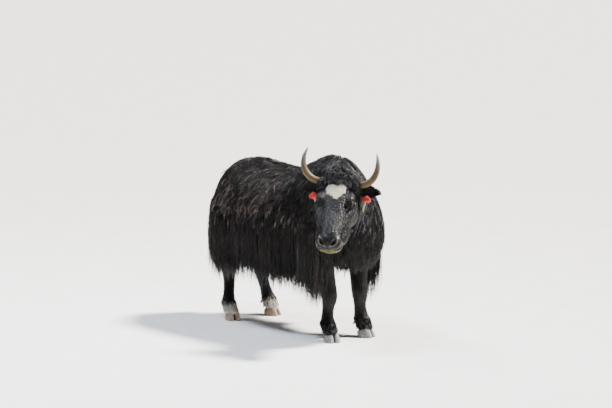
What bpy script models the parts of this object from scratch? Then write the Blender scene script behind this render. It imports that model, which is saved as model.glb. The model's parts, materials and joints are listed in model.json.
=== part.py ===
"""A life-size black domestic yak, standing still with its neck bent and its head turned to its right.

The flesh is lofted through rings along the trunk, neck, head, legs, dock and ears. Locks of
hair are rooted in it, and the whole is then parted with thin cuts into the named pieces.
Units are metres. The yak faces -Y, its own left is +X, and it stands on Z = 0.
"""

import math
import random

import bmesh
import bpy
from mathutils import Matrix, Vector
from mathutils.bvhtree import BVHTree

GAP = 0.0003
HALF_GAP = GAP / 2
# The body stands here, so that the origin lies under the middle of the whole animal.
BODY_AT = Vector((0.0935, 0.0240, 0.0))

# Trunk: place along the back, top, underside, half width.
TRUNK = (
    (-0.680, 0.800, 0.640, 0.050),
    (-0.650, 0.880, 0.560, 0.120),
    (-0.580, 0.985, 0.490, 0.155),
    (-0.480, 1.082, 0.460, 0.172),
    (-0.380, 1.122, 0.455, 0.188),
    (-0.280, 1.108, 0.460, 0.208),
    (-0.150, 1.050, 0.465, 0.240),
    (-0.020, 1.008, 0.470, 0.265),
    (0.120, 1.010, 0.475, 0.272),
    (0.260, 1.025, 0.490, 0.265),
    (0.400, 1.040, 0.520, 0.246),
    (0.520, 1.030, 0.550, 0.222),
    (0.620, 0.988, 0.590, 0.188),
    (0.690, 0.920, 0.650, 0.130),
    (0.715, 0.860, 0.720, 0.060),
)
TRUNK_SIDES = 18
# Share of the depth, from below, at which the trunk is widest, and how its spine narrows.
WIDEST_SHARE = 0.42
SPINE_NARROWING = 0.30

# Neck: centre line from between the shoulders to the back of the head, half width, half depth.
NECK = (
    ((0.000, -0.340, 0.800), 0.150, 0.270),
    ((-0.020, -0.430, 0.820), 0.150, 0.260),
    ((-0.065, -0.515, 0.850), 0.138, 0.225),
    ((-0.120, -0.585, 0.880), 0.122, 0.185),
    ((-0.175, -0.640, 0.910), 0.108, 0.150),
    ((-0.225, -0.682, 0.935), 0.092, 0.120),
)
NECK_SIDES = 16

# Head: its own origin lies inside the skull, between the horns.
SKULL = Vector((-0.235, -0.680, 0.990))
HEAD_TURN = math.radians(54)
HEAD_PITCH = math.radians(49)
HEAD_ROLL = math.radians(4)
# Head: distance down the face, half width, height over the axis, depth under it.
HEAD = (
    (-0.080, 0.045, 0.020, 0.030),
    (-0.060, 0.078, 0.048, 0.070),
    (-0.020, 0.104, 0.066, 0.104),
    (0.030, 0.116, 0.072, 0.130),
    (0.085, 0.123, 0.068, 0.152),
    (0.145, 0.130, 0.060, 0.166),
    (0.205, 0.124, 0.053, 0.158),
    (0.265, 0.106, 0.048, 0.132),
    (0.320, 0.083, 0.046, 0.094),
    (0.370, 0.074, 0.046, 0.075),
    (0.405, 0.073, 0.041, 0.068),
    (0.428, 0.062, 0.030, 0.054),
    (0.438, 0.036, 0.014, 0.032),
)
HEAD_SIDES = 16
FACE_NARROWING = 0.24
JAW_NARROWING = 0.06

# Legs: height, shift towards the other leg, place along the body, half width, half depth.
FORE_LEG = (
    (0.860, 0.020, -0.400, 0.050, 0.110),
    (0.740, -0.020, -0.410, 0.080, 0.150),
    (0.620, -0.025, -0.415, 0.082, 0.135),
    (0.530, -0.015, -0.408, 0.070, 0.098),
    (0.450, 0.000, -0.412, 0.058, 0.070),
    (0.360, 0.012, -0.428, 0.049, 0.056),
    (0.290, 0.016, -0.442, 0.048, 0.053),
    (0.250, 0.015, -0.444, 0.044, 0.048),
    (0.200, 0.010, -0.438, 0.034, 0.040),
    (0.150, 0.004, -0.440, 0.036, 0.042),
    (0.112, 0.000, -0.446, 0.045, 0.050),
    (0.080, 0.000, -0.462, 0.043, 0.046),
    (0.055, 0.000, -0.476, 0.047, 0.050),
    (0.040, 0.000, -0.482, 0.040, 0.044),
)
HIND_LEG = (
    (0.900, 0.060, 0.470, 0.060, 0.120),
    (0.780, 0.005, 0.475, 0.095, 0.170),
    (0.660, -0.015, 0.470, 0.098, 0.165),
    (0.560, -0.010, 0.478, 0.082, 0.130),
    (0.470, 0.010, 0.515, 0.062, 0.088),
    (0.400, 0.028, 0.560, 0.048, 0.066),
    (0.350, 0.038, 0.590, 0.043, 0.062),
    (0.300, 0.036, 0.586, 0.040, 0.050),
    (0.230, 0.026, 0.568, 0.034, 0.040),
    (0.160, 0.010, 0.552, 0.036, 0.041),
    (0.115, 0.000, 0.542, 0.045, 0.049),
    (0.082, 0.000, 0.524, 0.043, 0.045),
    (0.055, 0.000, 0.509, 0.047, 0.049),
    (0.040, 0.000, 0.503, 0.040, 0.044),
)
LEG_SIDES = 10
FORE_FOOT_X = 0.138
HIND_FOOT_X = 0.158
# The right hind foot stands a little further back than the left one.
HIND_STAGGER = 0.008
TOE_OUT = math.radians(18)
FORE_LEG_TOP = 0.440
HIND_LEG_TOP = 0.455

# Cloven feet: each toe is a wedge of horn on a flat sole.
CLAW_LENGTH = 0.100
CLAW_HALF_WIDTH = 0.0235
CLAW_SPREAD = 0.0265
CLAW_TOE_HEIGHT = 0.062
CLAW_HEEL_HEIGHT = 0.040
DEWCLAW_LENGTH = 0.034
DEWCLAW_RADIUS = 0.011

# Horns, in the turned head's sideways, forward and upward directions, from the skull's origin.
HORN = (
    ((0.070, 0.000, 0.026), 0.0225),
    ((0.115, 0.004, 0.020), 0.0220),
    ((0.160, 0.012, 0.029), 0.0215),
    ((0.200, 0.010, 0.057), 0.0205),
    ((0.225, 0.000, 0.103), 0.0175),
    ((0.229, -0.018, 0.150), 0.0130),
    ((0.222, -0.040, 0.186), 0.0080),
    ((0.212, -0.058, 0.210), 0.0020),
)
HORN_POINTS = 13

# Features of the head: place down the face, to the left and out of it, and radii of its balls.
EYE_AT = (0.130, 0.101, 0.020)
EYE_RADIUS = 0.0195
LID_RADII = (0.0285, 0.0240, 0.0235)
EYE_OPENING_RADII = (0.019, 0.022, 0.0105)
BROW_FROM_EYE = (-0.012, -0.014, 0.022)
BROW_RADII = (0.042, 0.026, 0.024)
NOSTRIL_AT = (0.414, 0.036, 0.010)
NOSTRIL_RIM_RADII = (0.027, 0.022, 0.019)
NOSTRIL_RADII = (0.016, 0.020, 0.0085)
NOSTRIL_DEPTH = 0.020
UPPER_LIP = ((0.405, 0.0, -0.008), (0.045, 0.074, 0.040))
LOWER_LIP = ((0.392, 0.0, -0.055), (0.042, 0.052, 0.024))
MOUTH_LINE = ((0.425, 0.0, -0.030), (0.092, 0.120, 0.0016))
MOUTH_DEPTH = 0.009
EAR_AT = (0.018, 0.108, -0.016)
EAR_LENGTH = 0.150
EAR_HALF_WIDTH = 0.036

BLACK = (0.018, 0.016, 0.017)
MATERIALS = {
    "black_coat": (BLACK, 0.75),
    "horn": ((0.42, 0.36, 0.24), 0.45),
    "dark_eye": ((0.01, 0.008, 0.006), 0.08),
    "hind_hoof": ((0.48, 0.33, 0.27), 0.55),
    "fore_hoof": ((0.42, 0.42, 0.43), 0.5),
    "red_yarn": ((0.62, 0.03, 0.02), 0.85),
    "pale_yarn": ((0.55, 0.47, 0.33), 0.9),
}

EAR_SUNK = 0.022
EAR_DROOP = 0.030
EAR_CUP = 0.020
EAR_WALL = 0.0045
# Locks on the ear's lower edge: share of its length, share of its half width, length.
EAR_FRINGE = ((0.60, 0.78, 0.055), (0.78, 0.55, 0.060), (0.93, 0.20, 0.058))
EAR_WIDTHS = ((0.0, 0.42), (0.18, 0.66), (0.40, 1.0), (0.66, 0.90), (0.87, 0.48), (1.0, 0.08))

# Tassels: where along the ear, and the sizes and spread of the red yarn and the pale cord's ends.
TASSEL_SHARE = 0.46
KNOT_RADII = (0.014, 0.009, 0.010)
CORD_RADII = (0.008, 0.006, 0.012)
RED_WAYS = (-1.5, -0.5, 0.5, 1.5)
RED_SPREAD = 0.018
RED_LENGTH = 0.054
RED_SIZE = (0.026, 0.012)
PALE_WAYS = (-1, 1)
PALE_SPREAD = 0.011
PALE_LENGTH = 0.058
PALE_SIZE = (0.015, 0.008)

# Dock of the tail: height, place, half width, half depth.
DOCK = (
    (0.960, 0.645, 0.030, 0.024),
    (0.940, 0.712, 0.036, 0.034),
    (0.888, 0.764, 0.036, 0.034),
    (0.790, 0.792, 0.030, 0.028),
    (0.660, 0.802, 0.020, 0.018),
)
# Tail hair: height of the roots, height of the tips, turns round the dock, sideways spread.
TAIL_TIERS = (
    (0.860, 0.560, (-80, 0, 80), 0.12),
    (0.780, 0.400, (-105, -45, 45, 105), 0.10),
    (0.700, 0.250, (-75, -25, 25, 75), 0.07),
)
TAIL_LOCK_WIDTH = 0.066

SIDES = ((-1, "right"), (1, "left"))
LEGS = (
    ("fore_leg_right", FORE_LEG, -1, FORE_FOOT_X, 0.0, FORE_LEG_TOP),
    ("fore_leg_left", FORE_LEG, 1, FORE_FOOT_X, 0.0, FORE_LEG_TOP),
    ("hind_leg_right", HIND_LEG, -1, HIND_FOOT_X, HIND_STAGGER, HIND_LEG_TOP),
    ("hind_leg_left", HIND_LEG, 1, HIND_FOOT_X, -HIND_STAGGER, HIND_LEG_TOP),
)
# The cuts that part the head from the neck, and the neck from the torso: a place and a way.
POLL_CUT_AT = (-0.020, 0.0, -0.040)
POLL_CUT_WAY = (0.987, 0.158)
CHEST_CUT_AT = (0.0, -0.380, 1.120)
CHEST_CUT_WAY = (0.0, -0.520, 0.330)

FETLOCK_HEIGHT = 0.098
FETLOCK_HAIR = 0.070

ROOT_DEPTH = 0.022
# Two forms of lock: steps along it from the root, and its share of width at the root and each step.
LONG_LOCK = ((0.28, 0.56, 0.84, 1.0), (0.70, 1.0, 0.92, 0.60))
SHORT_LOCK = ((0.36, 0.74, 1.0), (0.75, 1.0, 0.66))
LOCK_WIDTH = 0.116
LOCK_THICKNESS = 0.028

# Height of the skirt's hem along the body.
HEM = (
    (-0.600, 0.280), (-0.480, 0.215), (-0.400, 0.235), (-0.300, 0.260), (-0.150, 0.280),
    (0.000, 0.285), (0.100, 0.265), (0.190, 0.350), (0.300, 0.310), (0.400, 0.285),
    (0.600, 0.280), (0.680, 0.330),
)
# Skirt tiers: height of the roots, first lock, spacing, how much shorter than the hem, lift, form.
SKIRT_TIERS = (
    (0.600, -0.590, 0.088, 0.000, 0.014, LONG_LOCK),
    (0.730, -0.545, 0.128, 0.110, 0.022, SHORT_LOCK),
)
SKIRT_BACK = 0.640
# How much further back the skirt begins on the left side than on the right.
SKIRT_LEFT_SHIFT = 0.140

# Hair behind the thighs, on each side: height of the roots, hem, width; and the places across.
THIGH_LOCKS = ((0.86, 0.50, 0.075), (0.69, 0.36, 0.080))
THIGH_PLACES = (0.115, 0.170)
# Hair under the chest: height of the roots, hem, half the breadth of the row; and the places in it.
CHEST_LOCKS = ((0.66, 0.47, 0.150), (0.54, 0.40, 0.110))
CHEST_PLACES = (-1.0, -0.5, 0.0, 0.5, 1.0)
CHEST_WIDTH = 0.085

# Woolly locks over the trunk, rooted on lines out of an axis inside it; angles in degrees.
FLEECE_COLUMNS = 7
FLEECE_FRONT = -0.400
FLEECE_BACK = 0.550
FLEECE_ANGLE = 32
FLEECE_REACH = 84
FLEECE_AXIS_HEIGHT = 0.780
FLEECE_LENGTH = 0.235
FLEECE_WIDTH = 0.155
FLEECE_THICKNESS = 0.050
FLEECE_LIFT = 0.014

MANE_STATIONS = (0.36, 0.62, 0.88)
MANE_ANGLES = (-120, -75, -32, 32, 75, 120)
MANE_LENGTH = 0.190
MANE_WIDTH = 0.107

# Tufts on the poll: place down the face, place to the left, length.
FORELOCK = (
    (-0.050, -0.055, 0.085), (-0.055, 0.000, 0.095), (-0.050, 0.055, 0.085),
    (-0.005, -0.090, 0.075), (-0.010, 0.000, 0.080), (-0.005, 0.090, 0.075),
)
# Tufts under the horns and behind the eyes: place down the face, place out of it, length.
CHEEK_TUFTS = ((0.045, 0.030, 0.070), (0.060, -0.075, 0.100))
POLL_LOCK_SIZE = (0.066, 0.024)
CHEEK_LOCK_SIZE = (0.054, 0.022)

# A claw's plan, with -1 at the cleft and at the toe, and its levels: height, size, setback.
CLAW_OUTLINE = (
    (-1.0, -0.70), (-0.65, -0.96), (0.0, -1.0), (0.62, -0.72), (0.96, -0.20),
    (1.0, 0.35), (0.72, 0.84), (0.05, 1.0), (-0.75, 0.95), (-1.0, 0.55),
)
CLAW_LEVELS = ((0.0, 1.0, 0.0), (0.30, 0.97, 0.004), (0.70, 0.88, 0.011), (1.0, 0.76, 0.018))

FINISHES = (
    ("horn", "horn"), ("eye", "dark_eye"), ("hind_hoof", "hind_hoof"), ("hind_dewclaw", "hind_hoof"),
    ("fore_hoof", "fore_hoof"), ("fore_dewclaw", "fore_hoof"),
    ("tassel_red", "red_yarn"), ("tassel_pale", "pale_yarn"),
)

dice = random.Random(11)


def clear_scene():
    """Removes whatever the file starts with."""
    for obj in list(bpy.data.objects):
        bpy.data.objects.remove(obj)


def new_collection(name):
    collection = bpy.data.collections.new(name)
    bpy.context.scene.collection.children.link(collection)
    return collection


def material(name):
    found = bpy.data.materials.get(name)
    if found:
        return found
    colour, roughness = MATERIALS[name]
    made = bpy.data.materials.new(name)
    made.use_nodes = True
    shader = made.node_tree.nodes["Principled BSDF"]
    shader.inputs["Base Color"].default_value = (*colour, 1.0)
    shader.inputs["Roughness"].default_value = roughness
    return made


def mesh_object(name, points, faces, collection):
    """A mesh object whose faces are turned to point out."""
    mesh = bpy.data.meshes.new(name)
    mesh.from_pydata([tuple(p) for p in points], [], faces)
    shape = bmesh.new()
    shape.from_mesh(mesh)
    bmesh.ops.recalc_face_normals(shape, faces=shape.faces)
    if shape.calc_volume(signed=True) < 0:
        bmesh.ops.reverse_faces(shape, faces=shape.faces)
    shape.to_mesh(mesh)
    shape.free()
    obj = bpy.data.objects.new(name, mesh)
    collection.objects.link(obj)
    return obj


def loft(name, rings, collection):
    """Skins a row of rings that have the same number of points, and closes both ends."""
    sides = len(rings[0])
    points = [p for ring in rings for p in ring]
    faces = []
    for row in range(len(rings) - 1):
        for i in range(sides):
            j = (i + 1) % sides
            low, high = row * sides, (row + 1) * sides
            faces.append((low + i, low + j, high + j, high + i))
    faces.append(tuple(range(sides)))
    faces.append(tuple(range((len(rings) - 1) * sides, len(rings) * sides)))
    return mesh_object(name, points, faces, collection)


def rounded(value, power):
    """A circle's sine or cosine, squared off a little by a power under 1."""
    return math.copysign(abs(value) ** power, value)


def ring(centre, across, up, half, over, under, sides, power=0.9, narrow_top=0.0, narrow_foot=0.0):
    """An egg-like ring, narrowed above and below its widest level."""
    points = []
    for i in range(sides):
        angle = 2 * math.pi * i / sides
        c, s = rounded(math.cos(angle), power), rounded(math.sin(angle), power)
        narrowing = narrow_top if s > 0 else narrow_foot
        width = half * c * (1 - narrowing * s * s)
        points.append(centre + across * width + up * (over if s > 0 else under) * s)
    return points


def smooth_path(points, count):
    """Points evenly spread in number along a Catmull-Rom curve through the given ones."""
    path = []
    for k in range(count):
        place = k / (count - 1) * (len(points) - 1)
        i = min(int(place), len(points) - 2)
        t = place - i
        a = points[max(i - 1, 0)]
        b, c = points[i], points[i + 1]
        d = points[min(i + 2, len(points) - 1)]
        path.append(
            0.5
            * (2 * b + (c - a) * t + (2 * a - 5 * b + 4 * c - d) * t**2 + (3 * b - a - 3 * c + d) * t**3)
        )
    return path


def boolean(obj, operation, others):
    """Unites, cuts or intersects an object with a collection of closed meshes, and applies it."""
    modifier = obj.modifiers.new(operation, "BOOLEAN")
    modifier.operation = operation
    modifier.solver = "MANIFOLD"
    modifier.operand_type = "COLLECTION"
    modifier.collection = others
    apply_modifiers(obj)


def apply_modifiers(obj):
    bpy.context.view_layer.update()
    graph = bpy.context.evaluated_depsgraph_get()
    mesh = bpy.data.meshes.new_from_object(obj.evaluated_get(graph))
    obj.modifiers.clear()
    obj.data = mesh


def remove_collection(collection):
    for obj in list(collection.objects):
        bpy.data.objects.remove(obj)
    bpy.data.collections.remove(collection)


def keep_largest(obj):
    """Keeps the closed surface with the largest volume, which drops scraps and fills sealed hollows."""
    shape = bmesh.new()
    shape.from_mesh(obj.data)
    left = set(shape.faces)
    groups = []
    while left:
        group, edge_of = set(), [left.pop()]
        while edge_of:
            face = edge_of.pop()
            group.add(face)
            for edge in face.edges:
                for near in edge.link_faces:
                    if near in left:
                        left.remove(near)
                        edge_of.append(near)
        groups.append(group)

    def reach(group):
        corners = [v.co for f in group for v in f.verts]
        spans = [max(c[k] for c in corners) - min(c[k] for c in corners) for k in range(3)]
        return spans[0] * spans[1] * spans[2]

    largest = max(groups, key=reach)
    spare = [f for group in groups if group is not largest for f in group]
    bmesh.ops.delete(shape, geom=spare, context="FACES")
    loose = [v for v in shape.verts if not v.link_faces]
    bmesh.ops.delete(shape, geom=loose, context="VERTS")
    shape.to_mesh(obj.data)
    shape.free()


def grown(obj, collection, by=GAP * 1.3):
    """A copy of an object, a hair's breadth larger all round, for cutting its neighbours clear."""
    copy = obj.copy()
    copy.data = obj.data.copy()
    collection.objects.link(copy)
    modifier = copy.modifiers.new("grow", "DISPLACE")
    modifier.strength = by
    modifier.mid_level = 0.0
    apply_modifiers(copy)
    return copy


def cut_clear(obj, *neighbours, by=GAP * 1.3):
    """Takes its neighbours' grown shapes out of an object, so that they meet with a thin gap."""
    spare = new_collection("spare")
    for neighbour in neighbours:
        grown(neighbour, spare, by)
    boolean(obj, "DIFFERENCE", spare)
    remove_collection(spare)
    keep_largest(obj)


def half_space(name, point, normal, collection, size=3.0):
    """A big box whose one face lies on the plane, with the box on the normal's side."""
    normal = normal.normalized()
    bpy.ops.mesh.primitive_cube_add(size=size)
    box = bpy.context.object
    box.name = name
    turn = normal.to_track_quat("Z", "Y").to_matrix().to_4x4()
    box.matrix_world = Matrix.Translation(point + normal * size / 2) @ turn
    for owner in list(box.users_collection):
        owner.objects.unlink(box)
    collection.objects.link(box)
    bpy.context.view_layer.update()
    return box


def keep_side(obj, point, normal):
    """Keeps the part of an object on the normal's side of a plane, less half the gap."""
    spare = new_collection("spare")
    half_space("side", point + normal.normalized() * HALF_GAP, normal, spare)
    boolean(obj, "INTERSECT", spare)
    remove_collection(spare)


def copy_of(obj, name, collection):
    copy = obj.copy()
    copy.data = obj.data.copy()
    copy.name = name
    collection.objects.link(copy)
    return copy


def tube(name, points, radii, collection, resolution=3):
    """A tapered round bar along a path: a curve with filled caps, made a mesh."""
    data = bpy.data.curves.new(name, "CURVE")
    data.dimensions = "3D"
    data.bevel_depth = 1.0
    data.bevel_resolution = resolution
    data.use_fill_caps = True
    spline = data.splines.new("POLY")
    spline.points.add(len(points) - 1)
    for slot, place, radius in zip(spline.points, points, radii):
        slot.co = (*place, 1.0)
        slot.radius = radius
    curve = bpy.data.objects.new(name + "_line", data)
    collection.objects.link(curve)
    bpy.context.view_layer.update()
    graph = bpy.context.evaluated_depsgraph_get()
    mesh = bpy.data.meshes.new_from_object(curve.evaluated_get(graph))
    bpy.data.objects.remove(curve)
    shape = bmesh.new()
    shape.from_mesh(mesh)
    bmesh.ops.remove_doubles(shape, verts=shape.verts, dist=0.00002)
    bmesh.ops.recalc_face_normals(shape, faces=shape.faces)
    shape.to_mesh(mesh)
    shape.free()
    obj = bpy.data.objects.new(name, mesh)
    collection.objects.link(obj)
    return obj


# Directions of the turned head: down the face, to the yak's own left, and out of the forehead.
HEADING = Vector((-math.sin(HEAD_TURN), -math.cos(HEAD_TURN), 0.0))
UP = Vector((0.0, 0.0, 1.0))
LEVEL_LEFT = Vector((math.cos(HEAD_TURN), -math.sin(HEAD_TURN), 0.0))
DOWN_FACE = HEADING * math.cos(HEAD_PITCH) - UP * math.sin(HEAD_PITCH)
STRAIGHT_OUT = HEADING * math.sin(HEAD_PITCH) + UP * math.cos(HEAD_PITCH)
HEAD_LEFT = LEVEL_LEFT * math.cos(HEAD_ROLL) - STRAIGHT_OUT * math.sin(HEAD_ROLL)
FOREHEAD_OUT = STRAIGHT_OUT * math.cos(HEAD_ROLL) + LEVEL_LEFT * math.sin(HEAD_ROLL)


def in_head(along, left, out):
    """A place in the head: down the face, to the left, and out of the forehead."""
    return SKULL + DOWN_FACE * along + HEAD_LEFT * left + FOREHEAD_OUT * out


def between(table, place):
    """Reads a table of stations at a place between two of its rows."""
    for low, high in zip(table, table[1:]):
        if place <= high[0]:
            t = max(0.0, (place - low[0]) / (high[0] - low[0]))
            return [a + (b - a) * t for a, b in zip(low, high)]
    return list(table[-1])


def trunk_loft(collection):
    rings = []
    for place, top, foot, half in TRUNK:
        level = foot + (top - foot) * WIDEST_SHARE
        centre = Vector((0.0, place, level))
        rings.append(
            ring(centre, Vector((1, 0, 0)), UP, half, top - level, level - foot, TRUNK_SIDES,
                 0.86, SPINE_NARROWING, 0.12)
        )
    return loft("trunk", rings, collection)


def neck_loft(collection):
    places = [row[0] for row in NECK]
    rings = []
    for i, (centre, half, deep) in enumerate(NECK):
        after, before = places[min(i + 1, len(NECK) - 1)], places[max(i - 1, 0)]
        along = (Vector(after) - Vector(before)).normalized()
        across = along.cross(UP).normalized()
        up = across.cross(along)
        rings.append(ring(Vector(centre), across, up, half, deep, deep, NECK_SIDES, 0.95, 0.25, 0.25))
    return loft("neck_flesh", rings, collection)


def head_loft(collection):
    rings = [
        ring(in_head(along, 0, 0), HEAD_LEFT, FOREHEAD_OUT, half, over, under, HEAD_SIDES,
             0.80, FACE_NARROWING, JAW_NARROWING)
        for along, half, over, under in HEAD
    ]
    return loft("head_flesh", rings, collection)


def leg_rings(table, side, foot_x, stagger=0.0):
    """Rings down a leg. side is 1 for the yak's left and -1 for its right."""
    rings = []
    for height, inward, along, half, deep in table:
        turn = TOE_OUT * side * max(0.0, min(1.0, (0.35 - height) / 0.25))
        out = Vector((math.cos(turn), math.sin(turn), 0))
        ahead = Vector((-math.sin(turn), math.cos(turn), 0))
        centre = Vector((side * (foot_x - inward), along + stagger, height))
        rings.append(ring(centre, out, ahead, half, deep, deep, LEG_SIDES, 0.95))
    return rings


def scaled_sphere(name, centre, axes, radii, collection, segments=12, rows=8):
    """A sphere stretched along three directions."""
    bpy.ops.mesh.primitive_uv_sphere_add(segments=segments, ring_count=rows, radius=1.0)
    ball = bpy.context.object
    ball.name = name
    frame = Matrix((
        [axes[k][0] * radii[k] for k in range(3)],
        [axes[k][1] * radii[k] for k in range(3)],
        [axes[k][2] * radii[k] for k in range(3)],
    )).to_4x4()
    ball.data.transform(Matrix.Translation(centre) @ frame)
    if frame.determinant() < 0:
        ball.data.flip_normals()
    for owner in list(ball.users_collection):
        owner.objects.unlink(ball)
    collection.objects.link(ball)
    return ball


def brow_and_lids(side, collection):
    """Unites the brow and the ball of the lids with the head, before the eye is let in."""
    along, left, out = EYE_AT
    down, inward, proud = BROW_FROM_EYE
    axes = (DOWN_FACE, HEAD_LEFT, FOREHEAD_OUT)
    scaled_sphere("lid_ball", in_head(along, side * left, out), axes, LID_RADII, collection, 9, 6)
    brow = in_head(along + down, side * (left + inward), out + proud)
    scaled_sphere("brow", brow, axes, BROW_RADII, collection, 7, 5)


def eye_opening(side, collection):
    """An almond that cuts the lids open over the front of the eyeball."""
    along, left, out = EYE_AT
    length, depth, height = EYE_OPENING_RADII
    centre = in_head(along + 0.001, side * (left + depth), out)
    long_way = (DOWN_FACE + FOREHEAD_OUT * 0.25).normalized()
    outward = HEAD_LEFT * side
    upright = long_way.cross(outward).normalized()
    axes = (long_way, outward, upright)
    scaled_sphere("opening", centre, axes, (length, depth, height), collection, 8, 6)


def nostril_parts(side, rims, cutters):
    """A raised rim on the muzzle's front corner and the comma of the opening in it."""
    along, left, out = NOSTRIL_AT
    centre = in_head(along, side * left, out)
    slanted = (FOREHEAD_OUT + DOWN_FACE * 0.35 + HEAD_LEFT * side * 0.45).normalized()
    outward = (HEAD_LEFT * side * 0.75 + DOWN_FACE * 0.65).normalized()
    across = slanted.cross(outward).normalized()
    outward = across.cross(slanted).normalized()
    axes = (slanted, outward, across)
    scaled_sphere("rim", centre, axes, NOSTRIL_RIM_RADII, rims, 7, 5)
    opening = centre + outward * NOSTRIL_DEPTH
    scaled_sphere("nostril", opening, axes, NOSTRIL_RADII, cutters, 7, 5)


def mouth_groove(head, collection):
    """A thin slab between the lips, as deep as the groove all round the muzzle."""
    spare = new_collection("spare")
    place, radii = MOUTH_LINE
    axes = (DOWN_FACE, HEAD_LEFT, FOREHEAD_OUT)
    slab = scaled_sphere("mouth_line", in_head(*place), axes, radii, collection, 12, 4)
    grown(head, spare, -MOUTH_DEPTH)
    boolean(slab, "DIFFERENCE", spare)
    remove_collection(spare)


def surface_of(obj):
    """A search tree of an object's faces, for rooting hair on them."""
    points = [v.co.copy() for v in obj.data.vertices]
    return BVHTree.FromPolygons(points, [tuple(f.vertices) for f in obj.data.polygons])


def lying_path(tree, root, normal, lie, length, lift, droop, shares):
    """A path for a lock: sunk at its root, then along the lie, held off the flesh, and drooping."""
    path = [root - normal * ROOT_DEPTH - lie * ROOT_DEPTH * 0.5]
    place, facing, last = root.copy(), normal, 0.0
    for share in shares:
        along = lie - facing * lie.dot(facing) * (1 - droop)
        way = along.lerp(-UP, droop * share).normalized()
        place = place + way * length * (share - last)
        last = share
        near, facing, face, distance = tree.find_nearest(place)
        height = (place - near).dot(facing)
        if height < lift:
            place = place + facing * (lift - height)
        path.append(place.copy())
    return path


def lock(name, path, width, thick, outward, collection, widths):
    """A flat lock: rhombic sections along a bent path that ends in a point."""
    rings = []
    for i, share in enumerate(widths):
        along = (path[i + 1] - path[max(i - 1, 0)]).normalized()
        sideways = along.cross(outward).normalized()
        proud = sideways.cross(along).normalized()
        w, t = width * share / 2, thick * share / 2
        rings.append([path[i] + way for way in (sideways * w, proud * t, -sideways * w, -proud * t)])
    points = [p for four in rings for p in four] + [path[len(rings)]]
    faces = [(0, 1, 2), (0, 2, 3)]
    for row in range(len(rings) - 1):
        for i in range(4):
            j = (i + 1) % 4
            low, high = row * 4, row * 4 + 4
            faces += [(low + i, low + j, high + j), (low + i, high + j, high + i)]
    last = (len(rings) - 1) * 4
    for i in range(4):
        faces.append((last + i, last + (i + 1) % 4, len(points) - 1))
    mesh_object(name, points, faces, collection)


def varied(value, share=0.12):
    return value * dice.uniform(1 - share, 1 + share)


def hair_lock(tree, start, way, lie, length, width, thick, lift, droop, collection, form):
    """Roots one lock where a line from outside first meets the flesh."""
    root, normal, face, distance = tree.ray_cast(start, way)
    if root is None:
        return
    lie = (lie - normal * lie.dot(normal)).normalized()
    shares, widths = form
    path = lying_path(tree, root, normal, lie, length, lift, droop, shares)
    lock("lock", path, varied(width), thick, normal, collection, widths)


def fleece(tree, collection):
    """Thick short locks in staggered rows round the trunk, from the hump to the rump."""
    for column in range(FLEECE_COLUMNS):
        place = FLEECE_FRONT + (FLEECE_BACK - FLEECE_FRONT) * column / (FLEECE_COLUMNS - 1)
        angle = -FLEECE_REACH + (FLEECE_ANGLE / 2 if column % 2 else 0.0)
        while angle <= FLEECE_REACH:
            along = place + dice.uniform(-0.020, 0.020)
            turn = math.radians(angle + dice.uniform(-5, 5))
            out = Vector((math.sin(turn), 0.0, math.cos(turn)))
            centre = Vector((0.0, along, FLEECE_AXIS_HEIGHT))
            lie = Vector((dice.uniform(-0.25, 0.25), 0.8, -1.3 * abs(math.sin(turn)) - 0.05))
            hair_lock(
                tree, centre + out, -out, lie, varied(FLEECE_LENGTH), FLEECE_WIDTH,
                varied(FLEECE_THICKNESS), FLEECE_LIFT, 0.15, collection, SHORT_LOCK,
            )
            angle += FLEECE_ANGLE


def skirt(tree, side, collection):
    """Long hanging locks along one side in overlapping tiers, down to the hem."""
    inward = Vector((-side, 0.0, 0.0))
    for level, first, spacing, shorter, lift, form in SKIRT_TIERS:
        place = first + (SKIRT_LEFT_SHIFT if side > 0 else 0.0)
        while place < SKIRT_BACK:
            along, height = place + dice.uniform(-0.010, 0.010), level + dice.uniform(-0.020, 0.020)
            length = height - between(HEM, place)[1] - shorter
            lie = Vector((0.0, dice.uniform(-0.02, 0.08), -1.0))
            hair_lock(
                tree, Vector((side, along, height)), inward, lie, varied(length, 0.06), LOCK_WIDTH,
                LOCK_THICKNESS, lift, 0.9, collection, form,
            )
            place += spacing


def thigh_and_chest_hair(tree, collection):
    """The hanging hair behind the thighs and between the forelegs."""
    for side in (-1, 1):
        for level, hem, width in THIGH_LOCKS:
            for across in THIGH_PLACES:
                hair_lock(
                    tree, Vector((side * across, 1.4, level)), Vector((0, -1, 0)),
                    Vector((side * 0.08, 0, -1)), varied(level - hem, 0.06), width,
                    LOCK_THICKNESS, 0.014, 0.9, collection, LONG_LOCK,
                )
    for level, hem, breadth in CHEST_LOCKS:
        for share in CHEST_PLACES:
            hair_lock(
                tree, Vector((breadth * share, -1.4, level)), Vector((0, 1, 0)),
                Vector((0, 0.25, -1)), varied(level - hem, 0.10), CHEST_WIDTH,
                LOCK_THICKNESS, 0.012, 0.8, collection, SHORT_LOCK,
            )


def mane(tree, collection):
    """Locks that hang over the neck on both sides and lie along its crest."""
    start, end = Vector(NECK[0][0]), Vector(NECK[-1][0])
    across = (end - start).cross(UP).normalized()
    up = across.cross((end - start).normalized())
    for column, share in enumerate(MANE_STATIONS):
        centre = start.lerp(end, share)
        for row in MANE_ANGLES:
            turn = math.radians(row + (9 if column % 2 else -9))
            out = across * math.sin(turn) + up * math.cos(turn)
            length = MANE_LENGTH * (0.75 + 0.25 * abs(math.sin(turn)))
            hair_lock(
                tree, centre + out * 0.9, -out, Vector((0.05, 0.25, -1.0)), varied(length),
                MANE_WIDTH, LOCK_THICKNESS, 0.012, 0.5, collection, SHORT_LOCK,
            )


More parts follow.
